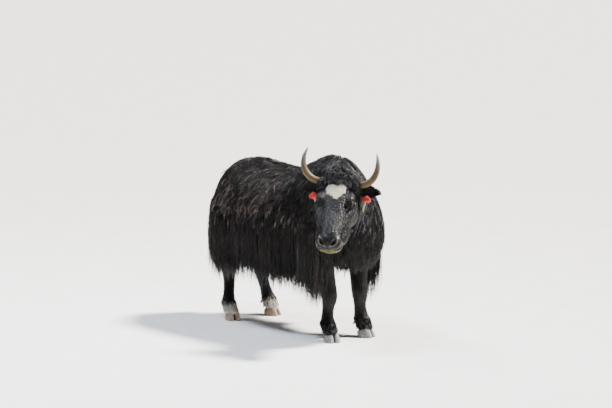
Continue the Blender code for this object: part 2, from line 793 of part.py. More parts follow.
def forelock(tree, collection):
    """Curly tufts on the poll between the horns, and round the roots of horns and ears."""
    width, thick = POLL_LOCK_SIZE
    for along, left, length in FORELOCK:
        lie = DOWN_FACE + HEAD_LEFT * left * 3.0
        hair_lock(
            tree, in_head(along, left, 0.5), -FOREHEAD_OUT, lie, length, width, thick,
            0.010, 0.15, collection, SHORT_LOCK,
        )
    width, thick = CHEEK_LOCK_SIZE
    for side in (-1, 1):
        for along, out, length in CHEEK_TUFTS:
            lie = DOWN_FACE * 0.4 - FOREHEAD_OUT * 0.6 - UP * 0.5
            hair_lock(
                tree, in_head(along, side * 0.5, out), HEAD_LEFT * -side, lie, length, width,
                thick, 0.009, 0.3, collection, SHORT_LOCK,
            )


def ear_frame(side):
    """An ear's root, the way it points, the way its cup faces, and its upper edge's side."""
    root = in_head(EAR_AT[0], side * (EAR_AT[1] - EAR_SUNK), EAR_AT[2])
    outward = (HEAD_LEFT * side - HEADING * 0.30 + UP * 0.02).normalized()
    opening = (HEADING - UP * 0.15).normalized()
    opening = (opening - outward * opening.dot(outward)).normalized()
    upper = opening.cross(outward).normalized() * side
    return root, outward, opening, upper


def ear_line(side, share):
    """The middle of the ear at a share of its length."""
    root, outward = ear_frame(side)[:2]
    return root + outward * (EAR_LENGTH + EAR_SUNK) * share - UP * EAR_DROOP * share * share


def ear_object(name, side, collection):
    """A leaf-shaped ear, hollowed along its front into a cup that opens near the root."""
    opening, upper = ear_frame(side)[2:]
    rings = []
    for share, width in EAR_WIDTHS:
        half = EAR_HALF_WIDTH * width
        centre = ear_line(side, share)
        cup = min(half * 0.75, EAR_CUP) * (1 - 0.5 * share)
        wall = EAR_WALL + 0.004 * (1 - share)
        outer, inner = [], []
        for k in range(5):
            angle = math.pi * k / 4
            lift = math.sin(angle)
            place = centre + upper * half * math.cos(angle)
            outer.append(place - opening * (cup * lift + wall * (0.35 + 0.65 * lift)))
            inner.append(place - opening * (cup * lift - wall * 0.35) * 0.95)
        rings.append(outer + inner[::-1])
    return loft(name, rings, collection)


def ear_fringe(side, collection):
    """Short locks along the ear's lower edge and at its tip."""
    outward, opening, upper = ear_frame(side)[1:]
    for share, width, length in EAR_FRINGE:
        start = ear_line(side, share) - upper * EAR_HALF_WIDTH * width - opening * 0.006
        way = (outward * (0.35 + share * 0.5) - upper).normalized()
        path = [start - way * 0.014] + [start + way * length * t for t in SHORT_LOCK[0]]
        lock("fringe", path, 0.034, 0.010, opening, collection, SHORT_LOCK[1])


def horn_object(name, side, collection):
    points = []
    for (left, forward, up), radius in HORN:
        level = LEVEL_LEFT * side * left + HEADING * forward + UP * up
        tilt = UP * (-side * left * math.sin(HEAD_ROLL))
        points.append((SKULL + level + tilt, radius))
    path = smooth_path([p for p, radius in points], HORN_POINTS)
    radii = smooth_path([Vector((radius, 0, 0)) for p, radius in points], HORN_POINTS)
    return tube(name, path, [max(r.x, HORN[-1][1]) for r in radii], collection, 2)


def claw(name, foot, turn, side, collection):
    """One toe of a hoof, on the side of the foot that side names: a D in plan, on a flat sole."""
    out = Vector((math.cos(turn), math.sin(turn), 0)) * side
    back = Vector((-math.sin(turn), math.cos(turn), 0))
    centre = foot + out * CLAW_SPREAD
    rings = []
    for level, size, setback in CLAW_LEVELS:
        points = []
        for u, v in CLAW_OUTLINE:
            height = level * (CLAW_TOE_HEIGHT + (CLAW_HEEL_HEIGHT - CLAW_TOE_HEIGHT) * (v + 1) / 2)
            across = (u * size + (size - 1)) * CLAW_HALF_WIDTH
            along = v * size * CLAW_LENGTH / 2 + setback
            points.append(centre + out * across + back * along + UP * height)
        rings.append(points)
    return loft(name, rings, collection)


def dewclaw(name, joint, turn, side, collection):
    """A small blunt cone behind the fetlock, pointing down and out."""
    out = Vector((math.cos(turn), math.sin(turn), 0)) * side
    back = Vector((-math.sin(turn), math.cos(turn), 0))
    start = joint + out * 0.020 + back * 0.034 + UP * 0.004
    end = start + (back * 0.55 + out * 0.25 - UP * 0.80).normalized() * DEWCLAW_LENGTH
    path = [start.lerp(end, k / 3) for k in range(4)]
    radii = [DEWCLAW_RADIUS * share for share in (1.1, 1.0, 0.75, 0.35)]
    return tube(name, path, radii, collection, 1)


def fetlock_tuft(joint, turn, lock_count, collection):
    """Short locks over the back and sides of the pastern."""
    for k in range(lock_count):
        angle = turn + math.radians(-100 + 200 * k / (lock_count - 1))
        out = Vector((-math.sin(angle), math.cos(angle), 0))
        start = joint + out * 0.026 + UP * 0.012
        path = [start] + [start + out * 0.028 * t - UP * FETLOCK_HAIR * t for t in SHORT_LOCK[0]]
        lock("tuft", path, 0.040, 0.016, out, collection, SHORT_LOCK[1])


def foot(label, table, side, foot_x, stagger, leg, collection):
    """The two hooves and two dewclaws of one foot, let into the leg's end, and the hair above."""
    turn = TOE_OUT * side
    under = Vector((side * foot_x, table[-1][2] + stagger - 0.012, 0.0))
    shift, along = between(table[::-1], FETLOCK_HEIGHT)[1:3]
    joint = Vector((side * (foot_x - shift), along + stagger, FETLOCK_HEIGHT))
    tufts = new_collection("tufts")
    fetlock_tuft(joint, turn, 3 if table is FORE_LEG else 2, tufts)
    boolean(leg, "UNION", tufts)
    remove_collection(tufts)
    for toe, way in (("outer", side), ("inner", -side)):
        hoof = claw(label.replace("leg", "hoof") + "_" + toe, under, turn, way, collection)
        spur = dewclaw(label.replace("leg", "dewclaw") + "_" + toe, joint, turn, way, collection)
        cut_clear(leg, hoof, spur)


def tail(torso, collection):
    """The dock, which is let into the rump, and the switch of long locks round it."""
    rings = [
        ring(Vector((0, along, height)), Vector((1, 0, 0)), Vector((0, 1, 0)), half, deep, deep, 8)
        for height, along, half, deep in DOCK
    ]
    dock = loft("tail", rings, collection)
    locks = new_collection("locks")
    tree = surface_of(dock)
    for height, hem, turns, spread in TAIL_TIERS:
        shift = between(DOCK[::-1], height)[1]
        for turn in turns:
            angle = math.radians(turn + dice.uniform(-6, 6))
            out = Vector((math.sin(angle), math.cos(angle), 0))
            lie = Vector((out.x * spread, max(out.y, 0.0) * 0.10 + 0.02, -1.0))
            hair_lock(
                tree, Vector((0, shift, height)) + out * 0.4, -out, lie, varied(height - hem, 0.06),
                TAIL_LOCK_WIDTH, LOCK_THICKNESS, 0.010, 0.35, locks, LONG_LOCK,
            )
    cut_clear(torso, dock, *locks.objects, by=GAP * 2)
    boolean(dock, "UNION", locks)
    remove_collection(locks)
    keep_largest(dock)


def strands(name, top, ways, spread, length, size, collection):
    """Loose ends of yarn that fan out of one place and hang down."""
    width, thick = size
    for way in ways:
        end = top + LEVEL_LEFT * spread * way - UP * length * (1 - 0.1 * abs(way))
        path = [top.lerp(end, t) for t in (0, *SHORT_LOCK[0])]
        lock(name, path, width, thick, HEADING, collection, SHORT_LOCK[1])


def tassel(side, label, neighbours, ear_pieces, collection):
    """Red yarn threaded through the ear's lower edge, with the pale ends of its cord below it."""
    opening, upper = ear_frame(side)[2:]
    top = ear_line(side, TASSEL_SHARE) - upper * EAR_HALF_WIDTH * 0.72 + opening * 0.010
    start = top - UP * RED_LENGTH * 0.7 - HEADING * 0.002
    axes = (LEVEL_LEFT, HEADING, UP)
    knot = scaled_sphere("tassel_red_" + label, top, axes, KNOT_RADII, collection, 6, 4)
    ends = scaled_sphere("tassel_pale_" + label, start, axes, CORD_RADII, collection, 6, 4)
    red, pale = new_collection("red"), new_collection("pale")
    strands("strand", top, RED_WAYS, RED_SPREAD, RED_LENGTH, RED_SIZE, red)
    strands("end", start, PALE_WAYS, PALE_SPREAD, PALE_LENGTH, PALE_SIZE, pale)
    for piece in neighbours:
        cut_clear(piece, knot, ends, *red.objects, *pale.objects, by=GAP * 2)
    boolean(ends, "UNION", pale)
    remove_collection(pale)
    cut_clear(ends, knot, *red.objects, by=GAP * 2.5)
    boolean(knot, "UNION", red)
    remove_collection(red)
    for piece in (knot, ends):
        cut_clear(piece, *ear_pieces, by=GAP * 2)


def head_flesh(work, finished):
    """The head with its lips, nostrils and lids, opened over the two eyes, which it makes too."""
    head = head_loft(work)
    additions, cutters = new_collection("additions"), new_collection("cutters")
    axes = (DOWN_FACE, HEAD_LEFT, FOREHEAD_OUT)
    for side, label in SIDES:
        brow_and_lids(side, additions)
        nostril_parts(side, additions, cutters)
        along, left, out = EYE_AT
        place, radii = in_head(along, side * left, out), (EYE_RADIUS,) * 3
        eye = scaled_sphere("eye_" + label, place, axes, radii, finished, 8, 6)
        grown(eye, cutters)
        eye_opening(side, cutters)
    for name, (place, radii) in (("upper_lip", UPPER_LIP), ("lower_lip", LOWER_LIP)):
        scaled_sphere(name, in_head(*place), axes, radii, additions, 8, 6)
    boolean(head, "UNION", additions)
    remove_collection(additions)
    mouth_groove(head, cutters)
    boolean(head, "DIFFERENCE", cutters)
    remove_collection(cutters)
    keep_largest(head)


def flesh_and_shins(finished):
    """The whole body in one piece down to the tops of the lower legs, and the lower legs."""
    body = new_collection("body")
    head_flesh(body, finished)
    neck_loft(body)
    shins = []
    for label, table, side, foot_x, stagger, top in LEGS:
        upper = loft(label + "_top", leg_rings(table, side, foot_x, stagger), body)
        shin = copy_of(upper, label, finished)
        cut = Vector((0, 0, top))
        keep_side(upper, cut, UP)
        keep_side(shin, cut, -UP)
        shins.append(shin)
    return body, shins


def add_coat(bare, shins):
    """Roots the coat on the bare body and on the shins under it, and unites it with the body."""
    spare, below = new_collection("spare"), new_collection("below")
    shown = copy_of(bare, "shown", spare)
    for shin in shins:
        copy_of(shin, shin.name, below)
    boolean(shown, "UNION", below)
    remove_collection(below)
    tree = surface_of(shown)
    remove_collection(spare)

    coat = new_collection("coat")
    fleece(tree, coat)
    for side, label in SIDES:
        skirt(tree, side, coat)
    thigh_and_chest_hair(tree, coat)
    mane(tree, coat)
    forelock(tree, coat)
    boolean(bare, "UNION", coat)
    remove_collection(coat)


def parted(whole, collection):
    """Thin cuts behind the poll and in front of the shoulders part head, neck and torso."""
    poll, poll_way = in_head(*POLL_CUT_AT), HEADING * POLL_CUT_WAY[0] + UP * POLL_CUT_WAY[1]
    chest, chest_way = Vector(CHEST_CUT_AT), Vector(CHEST_CUT_WAY)
    head, neck, torso = (copy_of(whole, name, collection) for name in ("head", "neck", "torso"))
    keep_side(head, poll, poll_way)
    keep_side(neck, poll, -poll_way)
    keep_side(neck, chest, chest_way)
    keep_side(torso, chest, -chest_way)
    keep_side(torso, poll, -poll_way)
    for piece in (head, neck, torso):
        keep_largest(piece)
    return head, neck, torso


def main():
    clear_scene()
    finished, work = new_collection("yak"), new_collection("work")
    whole = trunk_loft(work)
    body, shins = flesh_and_shins(finished)
    boolean(whole, "UNION", body)
    remove_collection(body)
    add_coat(whole, shins)
    head, neck, torso = parted(whole, finished)
    remove_collection(work)

    cut_clear(torso, *shins)
    for shin, (label, table, side, foot_x, stagger, top) in zip(shins, LEGS):
        foot(label, table, side, foot_x, stagger, shin, finished)
    tail(torso, finished)
    for side, label in SIDES:
        horn = horn_object("horn_" + label, side, finished)
        ear = ear_object("ear_" + label, side, finished)
        fringe = new_collection("fringe")
        ear_fringe(side, fringe)
        for piece in (head, neck):
            cut_clear(piece, horn, ear, *fringe.objects, by=GAP * 2)
        tassel(side, label, (head, neck), (ear, *fringe.objects), finished)
        boolean(ear, "UNION", fringe)
        remove_collection(fringe)
        keep_largest(ear)
    dress(finished)


def finish_for(name):
    for start, finish in FINISHES:
        if name.startswith(start):
            return finish
    return "black_coat"


def dress(collection):
    """Gives each piece its material and sets the animal over the origin."""
    for obj in collection.objects:
        obj.data.transform(Matrix.Translation(BODY_AT))
        obj.data.materials.clear()
        obj.data.materials.append(material(finish_for(obj.name)))
        obj.data.shade_smooth()
        obj.data.set_sharp_from_angle(angle=math.radians(40))


main()
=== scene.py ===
# %% [markdown]
# # A black yak, as large as life
# A domestic yak stands with its head turned to its right. Its flesh is one skin, its wool and long
# skirt are thousands of thin locks over that skin, and its horns, eyes, hooves and the two ear
# tassels are pieces of their own. The fixed frame of solids is loaded first, and every new piece
# stands in the place of the solids that it shows more finely.

import json
import math

import bpy
import numpy as np
from mathutils import Matrix, Vector
from mathutils.bvhtree import BVHTree

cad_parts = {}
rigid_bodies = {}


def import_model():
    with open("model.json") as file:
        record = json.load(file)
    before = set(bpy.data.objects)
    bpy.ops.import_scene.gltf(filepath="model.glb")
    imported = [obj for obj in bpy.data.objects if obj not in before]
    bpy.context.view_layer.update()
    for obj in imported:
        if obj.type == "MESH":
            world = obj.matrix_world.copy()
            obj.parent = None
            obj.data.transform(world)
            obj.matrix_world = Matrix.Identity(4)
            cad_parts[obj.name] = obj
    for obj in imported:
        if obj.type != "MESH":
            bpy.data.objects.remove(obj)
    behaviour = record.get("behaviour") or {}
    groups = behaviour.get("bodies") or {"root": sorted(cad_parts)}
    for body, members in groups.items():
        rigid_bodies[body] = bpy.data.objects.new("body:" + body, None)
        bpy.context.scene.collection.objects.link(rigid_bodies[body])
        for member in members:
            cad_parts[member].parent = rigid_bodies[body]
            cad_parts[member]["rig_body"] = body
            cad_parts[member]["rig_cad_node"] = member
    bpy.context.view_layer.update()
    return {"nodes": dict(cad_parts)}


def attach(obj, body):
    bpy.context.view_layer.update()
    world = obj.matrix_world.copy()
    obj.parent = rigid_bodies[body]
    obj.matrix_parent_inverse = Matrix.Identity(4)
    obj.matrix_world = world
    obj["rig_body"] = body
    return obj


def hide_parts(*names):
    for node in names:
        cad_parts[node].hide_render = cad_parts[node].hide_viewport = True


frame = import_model()

# %% [markdown]
# ## Places on the animal
# The measures below are the animal's own: it faces -Y, its left is +X, and the middle of its four
# feet is the origin. All pieces are made there and settled into the frame at the end, because
# round numbers about the feet are easier to read than shifted ones.

# %% Directions and the turned head
BODY_AT = Vector((0.0935, 0.0240, 0.0))
ACROSS, ALONG, UP = Vector((1.0, 0.0, 0.0)), Vector((0.0, 1.0, 0.0)), Vector((0.0, 0.0, 1.0))
SKULL = Vector((-0.235, -0.680, 0.990))
TURN, PITCH, ROLL = math.radians(54), math.radians(49), math.radians(4)
HEADING = Vector((-math.sin(TURN), -math.cos(TURN), 0.0))
LEVEL_LEFT = Vector((math.cos(TURN), -math.sin(TURN), 0.0))
DOWN_FACE = HEADING * math.cos(PITCH) - UP * math.sin(PITCH)
STRAIGHT_OUT = HEADING * math.sin(PITCH) + UP * math.cos(PITCH)
HEAD_LEFT = LEVEL_LEFT * math.cos(ROLL) - STRAIGHT_OUT * math.sin(ROLL)
FOREHEAD_OUT = STRAIGHT_OUT * math.cos(ROLL) + LEVEL_LEFT * math.sin(ROLL)
HEAD_AXES = (DOWN_FACE, HEAD_LEFT, FOREHEAD_OUT)
SIDES, BOTH = ((-1, "right"), (1, "left")), (-1, 1)
rng = np.random.default_rng(23)


def in_head(along, left, out):
    """A place in the head: down the face, to the left, and out of the forehead."""
    return SKULL + DOWN_FACE * along + HEAD_LEFT * left + FOREHEAD_OUT * out


# %% Stations of the flesh
# Trunk: place along the back, top, underside, half width.
TRUNK = (
    (-0.680, 0.800, 0.640, 0.050), (-0.650, 0.880, 0.560, 0.120), (-0.580, 0.985, 0.490, 0.155),
    (-0.480, 1.082, 0.460, 0.172), (-0.380, 1.122, 0.455, 0.188), (-0.280, 1.108, 0.460, 0.208),
    (-0.150, 1.050, 0.465, 0.240), (-0.020, 1.008, 0.470, 0.265), (0.120, 1.010, 0.475, 0.272),
    (0.260, 1.025, 0.490, 0.265), (0.400, 1.040, 0.520, 0.246), (0.520, 1.030, 0.550, 0.222),
    (0.620, 0.988, 0.590, 0.188), (0.690, 0.920, 0.650, 0.130), (0.715, 0.860, 0.720, 0.060),
)
# Neck: centre, half width, half depth.
NECK = (
    (0.000, -0.340, 0.800, 0.150, 0.270), (-0.020, -0.430, 0.820, 0.150, 0.260),
    (-0.065, -0.515, 0.850, 0.138, 0.225), (-0.120, -0.585, 0.880, 0.122, 0.185),
    (-0.175, -0.640, 0.910, 0.108, 0.150), (-0.225, -0.682, 0.935, 0.092, 0.120),
)
# Head: distance down the face, half width, height over the axis, depth under it.
HEAD = (
    (-0.080, 0.045, 0.020, 0.030), (-0.060, 0.078, 0.048, 0.070), (-0.020, 0.104, 0.066, 0.104),
    (0.030, 0.116, 0.072, 0.130), (0.085, 0.119, 0.068, 0.152), (0.145, 0.123, 0.060, 0.166),
    (0.205, 0.116, 0.053, 0.158), (0.265, 0.099, 0.048, 0.132), (0.320, 0.080, 0.046, 0.094),
    (0.370, 0.074, 0.046, 0.075), (0.405, 0.073, 0.041, 0.068), (0.428, 0.062, 0.030, 0.054),
    (0.438, 0.036, 0.014, 0.032),
)
# Legs: height, shift towards the other leg, place along the body, half width, half depth.
FORE_LEG = (
    (0.860, 0.020, -0.400, 0.050, 0.110), (0.740, -0.020, -0.410, 0.080, 0.150),
    (0.620, -0.025, -0.415, 0.082, 0.135), (0.530, -0.015, -0.408, 0.070, 0.098),
    (0.450, 0.000, -0.412, 0.058, 0.070), (0.360, 0.012, -0.428, 0.049, 0.056),
    (0.290, 0.016, -0.442, 0.048, 0.053), (0.250, 0.015, -0.444, 0.044, 0.048),
    (0.200, 0.010, -0.438, 0.034, 0.040), (0.150, 0.004, -0.440, 0.036, 0.042),
    (0.112, 0.000, -0.446, 0.045, 0.050), (0.080, 0.000, -0.462, 0.043, 0.046),
    (0.055, 0.000, -0.476, 0.047, 0.050), (0.040, 0.000, -0.482, 0.040, 0.044),
)
HIND_LEG = (
    (0.900, 0.060, 0.470, 0.060, 0.120), (0.780, 0.005, 0.475, 0.095, 0.170),
    (0.660, -0.015, 0.470, 0.098, 0.165), (0.560, -0.010, 0.478, 0.082, 0.130),
    (0.470, 0.010, 0.515, 0.062, 0.088), (0.400, 0.028, 0.560, 0.048, 0.066),
    (0.350, 0.038, 0.590, 0.043, 0.062), (0.300, 0.036, 0.586, 0.040, 0.050),
    (0.230, 0.026, 0.568, 0.034, 0.040), (0.160, 0.010, 0.552, 0.036, 0.041),
    (0.115, 0.000, 0.542, 0.045, 0.049), (0.082, 0.000, 0.524, 0.043, 0.045),
    (0.055, 0.000, 0.509, 0.047, 0.049), (0.040, 0.000, 0.503, 0.040, 0.044),
)
# Dock of the tail: height, place, half width, half depth.
DOCK = (
    (0.960, 0.645, 0.030, 0.024), (0.940, 0.712, 0.036, 0.034), (0.888, 0.764, 0.036, 0.034),
    (0.790, 0.792, 0.030, 0.028), (0.660, 0.802, 0.020, 0.018),
)
# Stations of each leg, its side, its foot's distance from the middle, and its shift backwards.
LEGS = (
    (FORE_LEG, -1, 0.138, 0.0), (FORE_LEG, 1, 0.138, 0.0),
    (HIND_LEG, -1, 0.158, 0.008), (HIND_LEG, 1, 0.158, -0.008),
)
TOE_OUT = math.radians(18)


def fine_stations(table, count):
    """Evenly numbered rows on a smooth curve through a table's rows."""
    rows = np.array(table, float)
    place = np.linspace(0, len(rows) - 1, count)
    i = np.minimum(place.astype(int), len(rows) - 2)
    t = (place - i)[:, None]
    a, b = rows[np.maximum(i - 1, 0)], rows[i]
    c, d = rows[i + 1], rows[np.minimum(i + 2, len(rows) - 1)]
    bend = (2 * a - 5 * b + 4 * c - d) * t**2 + (3 * b - a - 3 * c + d) * t**3
    return 0.5 * (2 * b + (c - a) * t + bend)


print("head rows, fine:", fine_stations(HEAD, 40).shape)

# %% [markdown]
# ## How a limb is made by hand
# A circle with a face is extruded again and again into a long sock, and then each of its rings is
# pulled to its own place, width and depth. A stack of extrusions keeps the rows of faces straight
# round the limb, which a sculpted ball would not, and both ends come out closed.

# %% Selecting, editing and applying
def select_only(*objs):
    bpy.ops.object.select_all(action="DESELECT")
    for obj in objs:
        obj.select_set(True)
    bpy.context.view_layer.objects.active = objs[0]


def edit(obj, *steps):
    """Takes steps in edit mode, with all of an object selected."""
    select_only(obj)
    bpy.ops.object.mode_set(mode="EDIT")
    bpy.ops.mesh.select_all(action="SELECT")
    for step in steps:
        step()
    bpy.ops.object.mode_set(mode="OBJECT")
    return obj


def extrude_once():
    bpy.ops.mesh.extrude_region_move(TRANSFORM_OT_translate={"value": (0, 0, 1)})


def face_outwards():
    bpy.ops.mesh.normals_make_consistent(inside=False)


def apply_modifier(obj, kind, **settings):
    """Adds a modifier, sets it and applies it."""
    modifier = obj.modifiers.new(kind.lower(), kind)
    for name, value in settings.items():
        setattr(modifier, name, value)
    select_only(obj)
    bpy.ops.object.modifier_apply(modifier=modifier.name)


# %% The sock
def sock(name, rings):
    """A closed tube extruded from a circle, each of its rings set to the given points."""
    sides = len(rings[0])
    bpy.ops.object.select_all(action="DESELECT")
    bpy.ops.mesh.primitive_circle_add(vertices=sides, radius=1.0, fill_type="NGON")
    obj = bpy.context.object
    obj.name = name
    edit(obj, *[extrude_once] * (len(rings) - 1))
    for vertex in obj.data.vertices:
        x, y, z = vertex.co
        corner = round(math.atan2(y, x) / (2 * math.pi) * sides) % sides
        vertex.co = rings[round(z)][corner]
    return edit(obj, face_outwards)


# %% Egg-like rings and round ones
def egg(centre, across, up, half, over, under, sides, power=0.9, narrow_top=0.0, narrow_foot=0.0):
    """A ring like an egg, narrowed above and below its widest level."""
    points = []
    for i in range(sides):
        angle = 2 * math.pi * i / sides
        c = math.copysign(abs(math.cos(angle)) ** power, math.cos(angle))
        s = math.copysign(abs(math.sin(angle)) ** power, math.sin(angle))
        width = half * c * (1 - (narrow_top if s > 0 else narrow_foot) * s * s)
        points.append(centre + across * width + up * (over if s > 0 else under) * s)
    return points


def round_rings(path, radii, sides, hint=UP):
    """Circles square to a path, without a twist between them."""
    rings = []
    for i, (place, radius) in enumerate(zip(path, radii)):
        along = (path[min(i + 1, len(path) - 1)] - path[max(i - 1, 0)]).normalized()
        across = along.cross(hint).normalized()
        up = across.cross(along)
        rings.append(egg(place, across, up, radius, radius, radius, sides, 1.0))
    return rings


def ball(name, centre, axes, radii, segments=20, rows=12):
    """A sphere stretched along three directions."""
    bpy.ops.object.select_all(action="DESELECT")
    bpy.ops.mesh.primitive_uv_sphere_add(segments=segments, ring_count=rows, radius=1.0)
    obj = bpy.context.object
    obj.name = name
    stretch = Matrix([[axes[k][row] * radii[k] for k in range(3)] for row in range(3)]).to_4x4()
    obj.data.transform(Matrix.Translation(centre) @ stretch)
    return edit(obj, face_outwards)


# %% [markdown]
# ## The flesh of trunk, neck, legs and dock
# The body is modelled in overlapping socks: a barrel with its hump, a deep neck bent to the right,
# four legs and the root of the tail. They are joined and wrapped in one new surface by a voxel
# remesh, because that melts the folds between them as real flesh does, and then smoothed.

# %% Socks of the body
# A ring's number of sides, its squareness, and how much it narrows above and below.
TRUNK_RING, NECK_RING = (40, 0.86, 0.30, 0.12), (32, 0.95, 0.25, 0.25)
LEG_RING, DOCK_RING = (20, 0.95), (16, 0.9)
WIDEST_SHARE = 0.42
TURNED_BELOW, TURNED_OVER = 0.35, 0.25
body_parts = []

rings = []
for place, top, foot, half in fine_stations(TRUNK, 44):
    level = foot + (top - foot) * WIDEST_SHARE
    centre = Vector((0.0, place, level))
    rings.append(egg(centre, ACROSS, UP, half, top - level, level - foot, *TRUNK_RING))
body_parts.append(sock("trunk", rings))

rows = fine_stations(NECK, 18)
rings = []
for i, (x, y, z, half, deep) in enumerate(rows):
    along = Vector(rows[min(i + 1, len(rows) - 1)][:3]) - Vector(rows[max(i - 1, 0)][:3])
    across = along.normalized().cross(UP).normalized()
    up = across.cross(along.normalized())
    rings.append(egg(Vector((x, y, z)), across, up, half, deep, deep, *NECK_RING))
body_parts.append(sock("neck_flesh", rings))

for table, side, foot_x, stagger in LEGS:
    rings = []
    for height, inward, along, half, deep in fine_stations(table, 40):
        turn = TOE_OUT * side * max(0.0, min(1.0, (TURNED_BELOW - height) / TURNED_OVER))
        out = Vector((math.cos(turn), math.sin(turn), 0))
        ahead = Vector((-math.sin(turn), math.cos(turn), 0))
        centre = Vector((side * (foot_x - inward), along + stagger, height))
        rings.append(egg(centre, out, ahead, half, deep, deep, *LEG_RING))
    body_parts.append(sock("leg", rings))

body_parts.append(sock("dock", [
    egg(Vector((0, along, height)), ACROSS, ALONG, half, deep, deep, *DOCK_RING)
    for height, along, half, deep in fine_stations(DOCK, 16)
]))
print("body socks:", len(body_parts))

# %% [markdown]
# The legs of cattle are bone and sinew below the knee. A few stretched balls stand for the knee,
# the point of the hock, the fetlock's knob and the shoulder and thigh muscles, so that light
# breaks over them as on a lean leg.

# %% Knobs of bone and muscle
# Height, shift towards the other leg, place along the body, radii across, along and up.
FORE_KNOBS = (
    (0.270, 0.016, -0.470, 0.034, 0.024, 0.034), (0.105, 0.000, -0.472, 0.034, 0.026, 0.024),
    (0.640, -0.030, -0.420, 0.085, 0.120, 0.150),
)
HIND_KNOBS = (
    (0.385, 0.030, 0.618, 0.022, 0.024, 0.040), (0.108, 0.000, 0.520, 0.034, 0.026, 0.024),
    (0.700, -0.010, 0.440, 0.095, 0.160, 0.160),
)
for table, side, foot_x, stagger in LEGS:
    for height, inward, along, *radii in (FORE_KNOBS if table is FORE_LEG else HIND_KNOBS):
        place = Vector((side * (foot_x - inward), along + stagger, height))
        body_parts.append(ball("knob", place, (ACROSS, ALONG, UP), radii))


# %% One surface for the body
def melted(parts, name, voxel, rounds):
    """Parts that are joined, wrapped in one new surface and smoothed."""
    select_only(*parts)
    bpy.ops.object.join()
    obj = bpy.context.object
    obj.name = name
    apply_modifier(obj, "REMESH", mode="VOXEL", voxel_size=voxel)
    apply_modifier(obj, "SMOOTH", factor=0.5, iterations=rounds)
    print(name, "faces:", len(obj.data.polygons))
    return obj


BODY_VOXEL, HEAD_VOXEL = 0.0102, 0.0034
body = melted(body_parts, "skin", BODY_VOXEL, 6)

# %% [markdown]
# ## The head
# A yak's head is a long wedge: a broad flat forehead, brows that stand over the eyes, a straight
# nose, heavy cheeks and a wide muzzle with comma-shaped nostrils. The wedge is a sock, the
# features are balls sunk into it, and a finer remesh melts them together. Nostrils, mouth and eye
# openings are cut afterwards, so that their edges stay crisp.

# %% The wedge and its features
EYE_AT = (0.146, 0.096, 0.030)
EYE_RADIUS = 0.0195
HEAD_RING = (36, 0.80, 0.24, 0.06)
head_parts = [sock("head_flesh", [
    egg(in_head(along, 0, 0), HEAD_LEFT, FOREHEAD_OUT, half, over, under, *HEAD_RING)
    for along, half, over, under in fine_stations(HEAD, 44)
])]
# Down the face, to the left, out of it, and the three radii. What is off the middle is made twice.
FEATURES = (
    (*EYE_AT, 0.0290, 0.0245, 0.0240), (0.112, 0.086, 0.043, 0.044, 0.028, 0.020),
    (0.292, 0.066, -0.052, 0.090, 0.035, 0.048), (0.398, 0.048, -0.030, 0.041, 0.034, 0.024),
    (0.394, 0.036, -0.056, 0.042, 0.036, 0.024), (0.140, 0.080, -0.080, 0.085, 0.044, 0.072),
    (0.250, 0.066, 0.000, 0.110, 0.022, 0.020), (0.085, 0.078, -0.125, 0.055, 0.034, 0.048),
    (0.395, 0.046, 0.000, 0.048, 0.034, 0.034), (0.010, 0.085, 0.030, 0.034, 0.034, 0.030),
    (0.270, 0.0, 0.034, 0.140, 0.044, 0.020), (0.403, 0.0, -0.006, 0.045, 0.077, 0.038),
    (0.402, 0.0, -0.052, 0.044, 0.061, 0.028), (0.378, 0.0, -0.066, 0.036, 0.036, 0.022),
    (-0.030, 0.0, 0.052, 0.050, 0.080, 0.028),
)
for along, left, out, *radii in FEATURES:
    for side in BOTH if left else (1,):
        head_parts.append(ball("feature", in_head(along, side * left, out), HEAD_AXES, radii))
head = melted(head_parts, "head_flesh", HEAD_VOXEL, 8)

# %% [markdown]
# Fine folds are drawn into the surface like strokes of a sculpting brush: each vertex moves along
# its own normal by a sum of small ridges and grooves. There are rolls round the lids and nostrils,
# the two keels of the nose, the hollow of the cheek beside them, and the groove of the lip.

# %% Axes of eyes and nostrils
NOSTRIL_INNER, NOSTRIL_OUTER = (0.441, 0.017, 0.020), (0.412, 0.055, 0.035)


def nostril_axes(side):
    """A nostril's middle, its long way, the way that it faces, and across it."""
    inner, outer = (in_head(a, side * b, c) for a, b, c in (NOSTRIL_INNER, NOSTRIL_OUTER))
    slanted = (outer - inner).normalized()
    outward = DOWN_FACE * 0.75 + FOREHEAD_OUT * 0.50 + HEAD_LEFT * side * 0.42
    across = slanted.cross(outward).normalized() * side
    return (inner + outer) / 2, slanted, across.cross(slanted).normalized() * side, across


def eye_axes(side):
    """An eye's middle, its long way, the way that it looks, and up across the lids."""
    along, left, out = EYE_AT
    look = (HEAD_LEFT * side + FOREHEAD_OUT * 0.60 + DOWN_FACE * 0.14).normalized()
    long_way = DOWN_FACE + FOREHEAD_OUT * 0.10
    long_way = (long_way - look * long_way.dot(look)).normalized()
    upright = long_way.cross(look).normalized()
    upright = upright if upright.dot(FOREHEAD_OUT) > 0 else -upright
    return in_head(along, side * left, out), long_way, look, upright


# %% Measuring points
def read(items, name, wide, kind=float):
    """One value of every item, in rows of so many numbers."""
    flat = np.zeros(len(items) * wide, kind)
    items.foreach_get(name, flat)
    return flat.reshape(-1, wide)


def points_of(mesh):
    return read(mesh.vertices, "co", 3)


def local(points, middle, axes):
    """How far points lie from a middle along each of its axes."""
    return (points - np.array(middle)) @ np.array([list(a) for a in axes]).T


def head_places(points):
    """Distances down the face, to the left and out of it, for rows of points."""
    return local(points, SKULL, HEAD_AXES)


def round_nostril(points, side):
    """Places at a nostril: rings round it, and the distances outwards and across it."""
    middle, *axes = nostril_axes(side)
    u, w, v = local(points, middle, axes).T
    return np.hypot(u / NOSTRIL_SIZE[0], v / NOSTRIL_SIZE[1]), w, v


